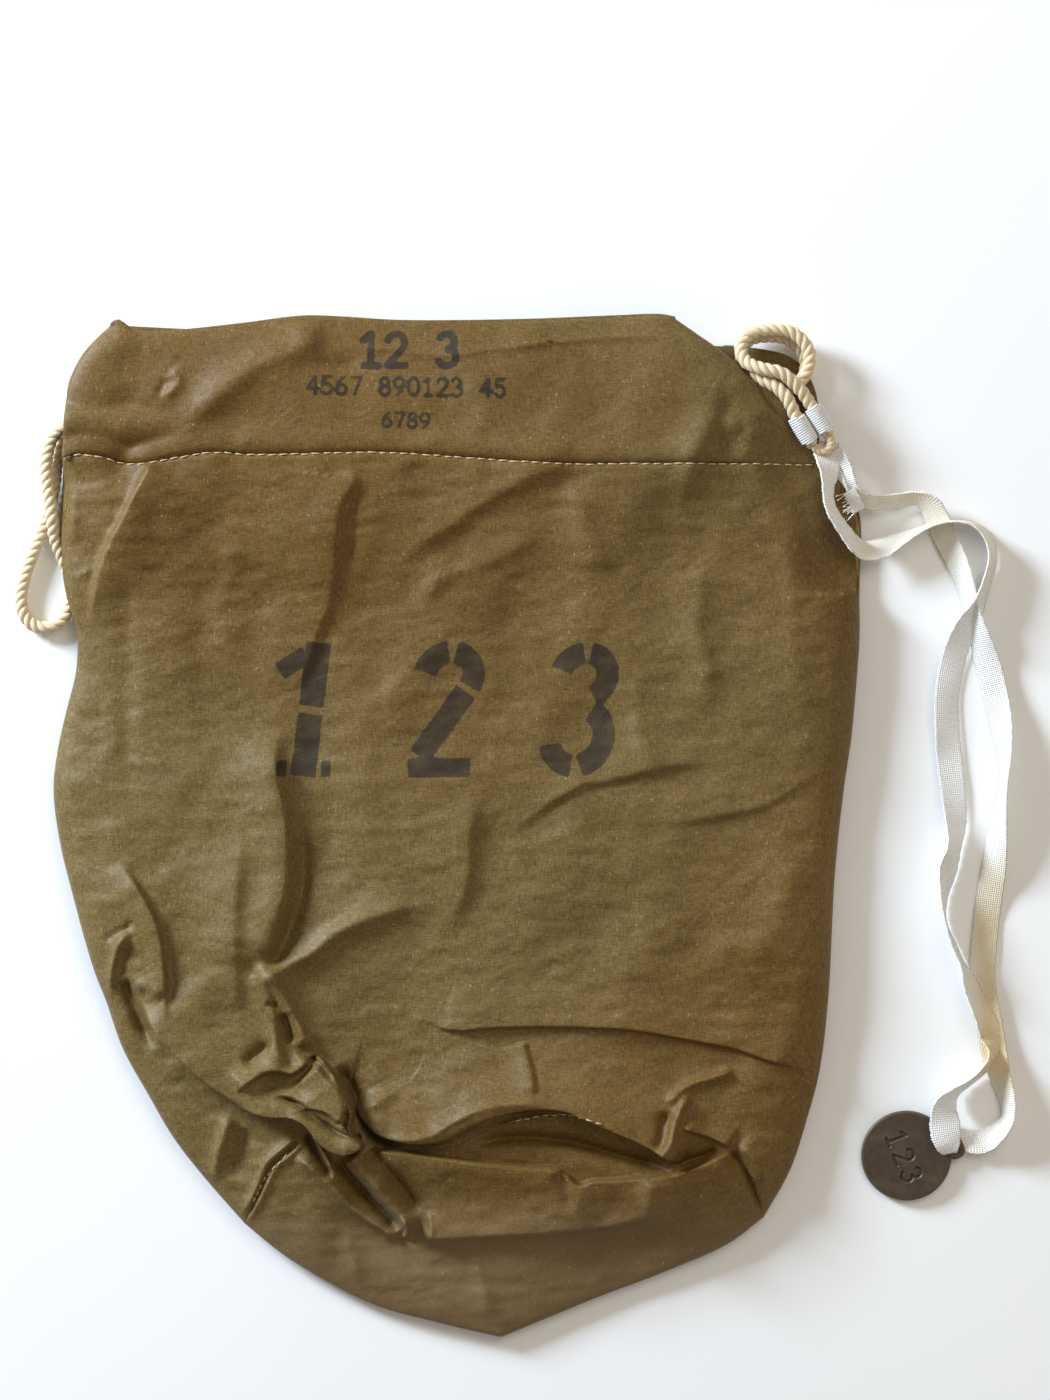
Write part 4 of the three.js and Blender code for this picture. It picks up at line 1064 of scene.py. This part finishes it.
    ridge(1.9, 2.2, 1.7, 0.06, 0.1, (-98, -175), (-92.6, -167.6), (-88.6, -159), (-84.4, -149.4),
        (-78, -143.6), (-71, -137.6)),
    ridge(-1.3, 0.8, 0.8, 0.04, 0.1, (-95, -177.5), (-91, -169), (-86.8, -160), (-82.4, -150.6),
        (-76, -145.4), (-69.4, -139.4)),
    ridge(1.3, 1.4, 1.8, 0.06, 0.1, (-93.4, -177), (-89, -169), (-85, -161), (-80.6, -152), (-74.6, -146.6),
        (-68, -141)),
]
FOLDS.append(ridge(-0.9, 1.3, 1.3, 0.02, 0.02, *HEM))
FOLDS.append(ridge(0.7, 6, 6, 0.02, 0.02, *[(x, y + 5) for x, y in HEM]))
FOLD_GAIN = 1.35
LINES = [
    (kind, height * FOLD_GAIN, *sizes, resample(catmull(points, 6), step=2))
    for kind, height, *sizes, points in FOLDS
]


def fold_shape(plan):
    """The height the folds add at each plan point, and the sideways shift of their rolled edges."""
    height = np.zeros(len(plan))
    shift = np.zeros((len(plan), 2))
    for kind, h, left, right, push, fade_in, fade_out, line in LINES:
        near = within(plan, line, 4.2 * max(left, right))
        if not len(near):
            continue
        d, side, share = distance_to(plan[near], line)
        fade = np.clip(share / max(fade_in, 1e-3), 0, 1) * np.clip((1 - share) / max(fade_out, 1e-3), 0, 1)
        fade = fade * fade * (3 - 2 * fade)
        if kind == "ridge":
            x = d / np.where(side > 0, left, right)
            height[near] += h * fade / (1 + x ** 2) ** 1.5
            continue
        wide_side = 1 if left > right else -1
        wide, sharp = max(left, right), min(left, right)
        x = d * side * wide_side - (push + sharp)  # from the crest
        rounded = 2.0 if kind == "lip" else 1.4
        shape = np.where(x > 0, np.exp(-(np.abs(x) / wide) ** 1.5), np.exp(-(np.abs(x) / sharp) ** rounded))
        height[near] += h * fade * shape
        heading = np.gradient(line, axis=0)
        at = np.clip((share * (len(line) - 1)).astype(int), 0, len(line) - 1)
        t = heading[at] / np.maximum(np.linalg.norm(heading[at], axis=1), 1e-9)[:, None]
        normal = np.column_stack([-t[:, 1], t[:, 0]]) * wide_side
        shift[near] -= normal * (push * fade * np.exp(-(x / 2.6) ** 2))[:, None]
    return height, shift


LEFT_EDGE = edge_line(LEFT_SIDE, 160)
RIGHT_EDGE = edge_line(RIGHT_SIDE, 160)
TIP_EDGE = resample(np.vstack([edge_line(TIP_LINE[:6], 60), edge_line(TIP_LINE[5:], 60)[1:]]), count=160)
SEAM_EDGE = edge_line(SEAM, 160)
HEM_EDGE = edge_line(HEM, 120)
TOP_EDGE = edge_line(TOP_FRONT, 120)
CASING_LEFT_EDGE = edge_line(CASING_LEFT, 60)
DIAGONAL_EDGE = edge_line(DIAGONAL, 80)


def bump01(value, low, high, soft):
    a = np.clip((value - low) / soft + 0.5, 0, 1)
    b = np.clip((high - value) / soft + 0.5, 0, 1)
    c = np.minimum(a, b)
    return c * c * (3 - 2 * c)


def edge_height(plan):
    """The height of the sack's edge over the surface it lies on."""
    y, x = plan[:, 1], plan[:, 0]
    z = np.full(len(plan), 4.6)
    z += 4.0 * bump01(y, 84, 142, 26) * (x < -120)
    z += 12.0 * smooth01(y, 154, 167) * (x < -120)
    z += 10.0 * smooth01(y, 126, 163) * (x > 120)
    return z


def crown(plan):
    """How high the cloth stands between the folds."""
    x, y = plan[:, 0], plan[:, 1]
    z = 16.5 + 6.4 * smooth01(y, 96, 172)
    z -= 1.5 * smooth01(-y, 60, 150)
    z -= 5.0 * smooth01(-y, 138, 205)
    z += 1.6 * value_noise(plan, 64, 3) + 2.2 * value_noise(plan * np.array([1, 0.75]), 34, 4)
    z += 0.7 * value_noise(plan @ np.array([[0.9, 0.4], [-0.4, 0.9]]), 15, 5) + 0.16 * value_noise(plan, 7, 6)
    return z


def loft(distance, width):
    t = np.clip(distance / width, 0, 1)
    return np.sqrt(np.clip(1 - (1 - t) ** 2, 0, 1))


# The tape's two runs over the sack's corner, down and back up.
OVER_TAPE = np.array([row[:3] for row in TAPE_SEEN[2:13] + TAPE_SEEN[-8:-1]])


def under_tape(flat, z):
    """Keep the cloth below the tape where the tape lies over the sack's corner."""
    near = np.flatnonzero((flat[:, 0] > 130) & (flat[:, 1] > 105) & (flat[:, 1] < 190))
    cap = np.full(len(near), 99.0)
    # the tape's cut end
    flap = np.array([(174, 149, 9.8), (176.4, 144, 9.2), (179, 139, 8.6)])
    for run in (OVER_TAPE[:11], OVER_TAPE[11:], flap):
        for x, y, edge in resample(run, step=1.0):
            gap = np.hypot(flat[near, 0] - x, flat[near, 1] - y)
            cap = np.minimum(cap, edge - 0.4 + 0.012 * np.maximum(gap - 2, 0) ** 2)
    z = z.copy()
    z[near] = smooth_min(z[near], cap, 3.6)
    return z


def front_surface(plan, edges, width=24.0):
    flat = plan.reshape(-1, 2)
    d = nearest(flat, edges)
    low = edge_height(flat)
    top = crown(flat)
    height, shift = fold_shape(flat)
    inside = loft(d, width)
    keep = smooth01(d, 0, 9)
    ripple = 0.35 * value_noise(flat * np.array([1, 2.2]), 9, 11) * keep
    z = low + (top - low) * inside + height * (0.12 + 0.88 * keep) * inside + ripple
    # folds above this level flatten off
    level, headroom = 26, 7
    z = np.where(z > level, level + headroom * (1 - np.exp(-(z - level) / headroom)), z)
    z = under_tape(flat, z)
    out = np.column_stack([flat + shift * keep[:, None], np.maximum(z, 1.2)])
    return out.reshape(*plan.shape[:-1], 3)


# ---------------------------------------------------------------- ink
SLANT = 0.12


def lean(points, cx, cy):
    return [(x + cx + y * SLANT, y + cy) for x, y in points]


def numerals(plan):
    """A stencilled 1 2 3, 60 mm high, with the stencil's bridges left bare."""
    one = [([(0, -30), (0, -2)], 5.6), ([(0, 1.4), (0, 30)], 5.6), ([(-16, 17), (-5, 24.5)], 4.2),
           ([(-12, -26.5), (-7.6, -26.5)], 3.6), ([(7.6, -26.5), (12, -26.5)], 3.6)]
    two = [(arc(0, 15, 11, 10.5, 172, 96), 5.2), (arc(0, 15, 11, 10.5, 80, -28), 5.2),
           ([(8.5, 8), (-9, -21)], 5.2), ([(-13.5, -26), (14.5, -26)], 4.4)]
    three = [(arc(-1, 15, 10.5, 10.2, 166, 96), 5.0), (arc(-1, 15, 10.5, 10.2, 80, -62), 5.0),
             (arc(-1, -12.5, 12, 12.8, 66, -78), 5.2), (arc(-1, -12.5, 12, 12.8, -96, -166), 5.2)]
    placed = [(lean(line, x, 53), half)
              for x, digit in ((-65, one), (-5, two), (56.5, three)) for line, half in digit]
    return stroke_distance(plan, placed, flat_ends=True)


def printed_row(digits, x, y, width, height, half, slope=0.0):
    """Strokes of a row of numerals. A space leaves a gap."""
    step = width / len(digits)
    wide = min(step / 0.72, height * 1.1)
    strokes = []
    for i, digit in enumerate(digits):
        for line in digit_lines(digit):
            placed = [(x + i * step + px * wide, y + slope * i * step + py * height) for px, py in line]
            strokes.append((placed, half))
    return strokes


def stamp(plan):
    """Three rows of plain numerals printed on the casing."""
    rows = printed_row("12 3", -43, 205.6, 46, 15.6, 1.7)
    rows += printed_row("4567 890123 45", -66.5, 193.2, 90, 8.6, 0.85, -0.016)
    rows += printed_row("6789", -33, 178.6, 22.5, 7.2, 0.75, -0.03)
    return stroke_distance(plan, rows)


def ink_fields(plan):
    flat = plan.reshape(-1, 2)
    big, small = numerals(flat), stamp(flat)
    fleck = 1.6 - np.hypot(flat[:, 0] - 42, (flat[:, 1] - 217) * 1.6)
    ink = np.maximum(np.maximum(big * 1.5, small * 2.6), fleck)
    strength = np.where(big > small, 0.93, 0.97)
    ring = distance_to(flat, np.array(arc(-134, 31, 12, 7, 200, 330), float))[0]
    stain = np.clip(1 - ring / 2.0, 0, 1) * 0.7
    return [("ink", ink), ("ink_strength", strength), ("stain", stain)]


# ---------------------------------------------------------------- sack: sheets
def sheet(name, surface, plan, material, nodes, thickness=0.6):
    rows, cols = surface.shape[:2]
    obj = make_mesh(name, surface.reshape(-1, 3), grid_faces(rows, cols), material, extra=ink_fields(plan))
    solidify(obj, thickness)
    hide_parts(*nodes)
    return obj


body_plan = coons(SEAM_EDGE, HEM_EDGE, LEFT_EDGE, RIGHT_EDGE, 400, 410,
                  across=(0.05, 0.5, 1.0), up=(0, 0.28, 1.6))
body_surface = front_surface(body_plan, [LEFT_EDGE, RIGHT_EDGE])
body = sheet("front_body_canvas", body_surface, body_plan, CANVAS, ["front_panel"])

# The half-moon's sides are its two corners.
moon_left, moon_right = (np.array([SEAM[end], SEAM[end]]) + np.array([[0, 0], [0, 1e-3]]) for end in (0, -1))
moon_plan = coons(TIP_EDGE, SEAM_EDGE, moon_left, moon_right, 150, 380,
                  across=(0.02, 0.36, 1.2), up=(0.4, 1, 0.5))
moon_surface = front_surface(moon_plan, [TIP_EDGE, LEFT_EDGE, RIGHT_EDGE])
moon = sheet("bottom_canvas", moon_surface, moon_plan, CANVAS, ["bottom_panel"])

casing_plan = coons(HEM_EDGE, TOP_EDGE, CASING_LEFT_EDGE, DIAGONAL_EDGE, 70, 260)
# The drawcord's run, which the casing has to cover.
CORD_IN_CASING = np.array([(x, y) for x, y, z in FRONT_RUN + LEFT_LOOP[:2] if z > 13], float)[2:]


def casing_surface(plan):
    flat = plan.reshape(-1, 2)
    end = nearest(flat, (CASING_LEFT_EDGE, DIAGONAL_EDGE))
    to_top = distance_to(flat, TOP_EDGE)[0]
    height, shift = fold_shape(flat)
    top = crown(flat)
    from_hem = smooth01(flat[:, 1], 166, 184)
    low = np.full(len(flat), 17.6) - 4.0 * smooth01(flat[:, 1], 196, 226) * (flat[:, 0] < -100)
    low = np.where(flat[:, 0] < 0, 20.6 + (low - 20.6) * from_hem, 14.6 + (16.4 - 14.6) * from_hem)
    z = low + (top - low) * loft(end, 24 - 9 * from_hem)
    z = z - (z - 18.2) * (1 - loft(to_top, 34)) * 0.92
    z = z + height * smooth01(end, 0, 8) * smooth01(to_top, 0, 5)
    cord_gap = distance_to(flat, CORD_IN_CASING)[0]
    over_cord = 23.0 - 0.05 * cord_gap ** 2
    z = under_tape(flat, -smooth_min(-z, -over_cord, 1.2))
    return np.column_stack([flat, z]).reshape(*plan.shape[:-1], 3)


def mouth_roll(edge, count, drop):
    """Rows of cloth rolled over at the mouth. A drop below 0 goes up."""
    rows = []
    for t in np.radians(np.linspace(20, 160, count)):
        row = edge.copy()
        row[:, 1] += 1.1 * math.sin(t)
        row[:, 2] -= drop * (1 - math.cos(t))
        rows.append(row)
    return rows


def turned_in(edge, count, depth, inset, level, shrink=1.0):
    """Rows of cloth that go from the mouth back into the sack, at the heights that level gives."""
    rows = []
    for k in range(1, count + 1):
        f = k / count
        row = edge.copy()
        row[:, 1] -= depth * f
        row[:, 2] = level(edge, f)
        drawn_in = inset * smooth01(f, 0, 0.3)
        row[:, 0] = row[:, 0] * shrink + np.where(row[:, 0] > 0, -drawn_in, drawn_in)
        rows.append(row)
    return rows


def front_level(edge, f):
    sunk = smooth01(f, 0, 0.35)
    return (edge[:, 2] - 2.6) * (1 - sunk) + 14.9 * sunk


casing_top = casing_surface(casing_plan)
mouth = casing_top[-1]
inside_rows = turned_in(mouth, 39, 60, 4, front_level, shrink=0.99)
casing_all = np.array([*casing_top, *mouth_roll(mouth, 6, 1.3), *inside_rows])
printed_plan = casing_all[..., :2].copy()
printed_plan[len(casing_top):, :, 1] += 500  # what is turned in has no ink
casing = sheet("front_casing_canvas", casing_all, printed_plan, CANVAS, ["front_casing"], 0.5)

# The casing's inner ply sticks out past the slanted end, under the cord.
ply_u, ply_v = np.linspace(0, 1, 70), np.linspace(0, 1, 18)
ply_line = along(DIAGONAL_EDGE, 0.06 + 0.6 * ply_u)
ply_out = np.gradient(ply_line, axis=0)
ply_out = np.column_stack([ply_out[:, 1], -ply_out[:, 0]]) / np.linalg.norm(ply_out, axis=1)[:, None]
ply_reach = 12.5 * np.sin(np.pi * ply_u) ** 0.6 + 1.0 * np.sin(ply_u * 17)
ply_plan = ply_line[None] + ply_out[None] * (-7 + (ply_reach + 7)[None, :, None] * ply_v[:, None, None])
fold_wave = np.sin(ply_u * 21)[None, :] * ply_v[:, None] ** 1.5 * 0.8
ply_height = 14.2 + 0.9 * np.sin(np.pi * ply_v)[:, None] - 1.6 * ply_v[:, None] ** 3 + fold_wave
ply_height = under_tape(ply_plan.reshape(-1, 2), ply_height.ravel() + 1.4).reshape(ply_height.shape) - 1.4
ply_points = np.dstack([ply_plan, ply_height]).reshape(-1, 3)
ply = make_mesh("front_casing_inner_ply", ply_points, grid_faces(18, 70), CANVAS_PLAIN)
solidify(ply, 0.5)

# The back lies on the table, and rises to the sack's edge all round.
back_right = np.vstack([RIGHT_EDGE, edge_line(BACK_RIGHT, 80)[1:]])
back_left = np.vstack([LEFT_EDGE, CASING_LEFT_EDGE[1:]])
back_top = edge_line(BACK_TOP, 120)
back_plan = coons(TIP_EDGE, back_top, back_left, back_right, 200, 180)
flat = back_plan.reshape(-1, 2)
d = nearest(flat, (TIP_EDGE, LEFT_EDGE, RIGHT_EDGE))
rim = edge_height(flat)
rim = np.where(flat[:, 1] > 150, np.minimum(rim, 4.6), rim)
z = 0.7 + (rim - 0.7) * (1 - loft(d, 15))
# The cord's loop lies on the back's edge.
under = resample(catmull(LEFT_LOOP), step=2)
under = under[under[:, 2] < 7.5]
gap = distance_to(flat, under[:, :2])[0]
z = np.maximum(z, 7.6 * np.exp(-(gap / 6.5) ** 2) * (flat[:, 1] < 150) + 0.7)
z += 0.25 * np.abs(value_noise(flat, 30, 21))
back_surface = np.column_stack([flat, z]).reshape(*back_plan.shape[:-1], 3)


def back_level(edge, f):
    """The turned-in cloth lifts to the cord, but stays low where it shows beside the slanted end."""
    keep = 1 - smooth01(edge[:, 0], 108, 126)
    rise = smooth01(f, 0, 0.3)
    return edge[:, 2] + 2.2 + (8.7 - edge[:, 2] - 2.2) * rise * keep - 1.2 * (1 - keep)


mouth = back_surface[-1]
back_all = np.array([*back_surface, *mouth_roll(mouth, 5, -1.1), *turned_in(mouth, 33, 58, 3, back_level)])
back = make_mesh("back_canvas", back_all.reshape(-1, 3), grid_faces(*back_all.shape[:2])[:, ::-1], CANVAS_PLAIN)
solidify(back, 0.6)
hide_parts("back_panel", "back_casing")


# ---------------------------------------------------------------- stitching
def surface_sampler(*surfaces):
    """A function for the cloth's height at a plan point."""
    points = np.vstack([s.reshape(-1, 3) for s in surfaces])
    tree = KDTree(len(points))
    for i, p in enumerate(points):
        tree.insert((p[0], p[1], 0), i)
    tree.balance()

    def height(x, y):
        found = tree.find_n((x, y, 0), 4)
        w = [1 / (f[2] + 0.05) for f in found]
        return sum(points[f[1], 2] * k for f, k in zip(found, w)) / sum(w)

    return height


height_at = surface_sampler(body_surface, moon_surface, casing_top)


def stitches(name, line, node, pitch, length, radius, lift=0.25):
    """One row of lock stitches: short thread arcs that dip into the cloth at each needle hole."""
    line = resample(np.array(line, float)[:, :2], step=0.5)
    s = lengths(np.column_stack([line, np.zeros(len(line))]))
    arch = np.array([-0.55, 0.1, 0.42, 0.5, 0.42, 0.1, -0.55])
    parts = []
    for i in range(int(s[-1] / pitch)):
        middle = (i + 0.5) * pitch + rng.uniform(-0.3, 0.3)
        half = length / 2 * rng.uniform(0.82, 1.1)
        at = np.linspace(middle - half, middle + half, len(arch))
        x = np.interp(at, s, line[:, 0])
        y = np.interp(at, s, line[:, 1])
        drift = rng.uniform(-0.25, 0.25, 2)
        z = np.array([height_at(a, b) for a, b in zip(x, y)])
        z = z.mean() * 0.5 + z * 0.5 + arch * 0.9 + lift
        y = y + np.linspace(*drift, len(arch))
        parts.append(tube(np.column_stack([x, y, z]), radius, 7))
    points, faces, fibre = merged(parts)
    obj = make_mesh(name, points, faces, THREAD, extra=[("fibre", fibre), ("depth", np.zeros(len(fibre)))])
    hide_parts(*node)


hem_line = catmull([(x, y - 0.5) for x, y in HEM], 8)
stitches("front_hem_stitches", hem_line, ["front_hem_thread", "back_hem_thread"], 4.9, 3.6, radius=0.32,
         lift=0.1)
seam_line = catmull([(-91, -168), (-85, -156), (-75, -145.5)], 8)
stitches("left_seam_stitches", seam_line, ["left_seam_thread"], 3.4, 2.0, radius=0.3)
open_line = catmull([(26, -131), (39, -128.6), (52, -128.4), (66, -132)], 8)
stitches("bottom_seam_stitches", open_line, ["bottom_seam_thread", "right_seam_thread"], 4.0, 2.4, radius=0.36)

# ---------------------------------------------------------------- setting
FLOOR_HALF, FLOOR_DROP = 6, -0.0004
floor_material = Nodes("pale_floor")
tone = floor_material.noise(floor_material.position(), 6.0, 2.0)
pale = floor_material.ramp(tone, [(0.3, (0.93, 0.925, 0.915)), (0.7, (0.95, 0.945, 0.935))])
floor_material.finish(pale, 0.95)
floor = bpy.data.meshes.new("floor")
corners = [(x * FLOOR_HALF, y * FLOOR_HALF, FLOOR_DROP) for x, y in ((-1, -1), (1, -1), (1, 1), (-1, 1))]
floor.from_pydata(corners, [], [(0, 1, 2, 3)])
floor.materials.append(floor_material.material)
floor_object = bpy.data.objects.new("floor", floor)
bpy.context.scene.collection.objects.link(floor_object)


def area_light(name, place, size, power, color):
    """A square soft light that looks at the origin."""
    data = bpy.data.lights.new(name, "AREA")
    data.shape = "RECTANGLE"
    data.size = data.size_y = size
    data.energy = power
    data.color = color
    obj = bpy.data.objects.new(name, data)
    obj.location = place
    obj.rotation_euler = (-Vector(place)).to_track_quat("-Z", "Y").to_euler()
    bpy.context.scene.collection.objects.link(obj)


area_light("window", (-1.5, 1.1, 0.74), 0.55, 80.0, (0.72, 0.84, 1.0))
area_light("overhead", (0.9, 1.1, 1.9), 1.4, 13.0, (1.0, 0.90, 0.74))
area_light("warm_fill", (1.3, -0.9, 1.2), 1.2, 3.0, (1.0, 0.86, 0.66))
world = bpy.data.worlds.new("studio")
world.use_nodes = True
sky = world.node_tree.nodes["Background"]
sky.inputs["Color"].default_value = (1.0, 0.96, 0.89, 1)
sky.inputs["Strength"].default_value = 0.30
bpy.context.scene.world = world
bpy.context.scene.view_settings.view_transform = "Standard"
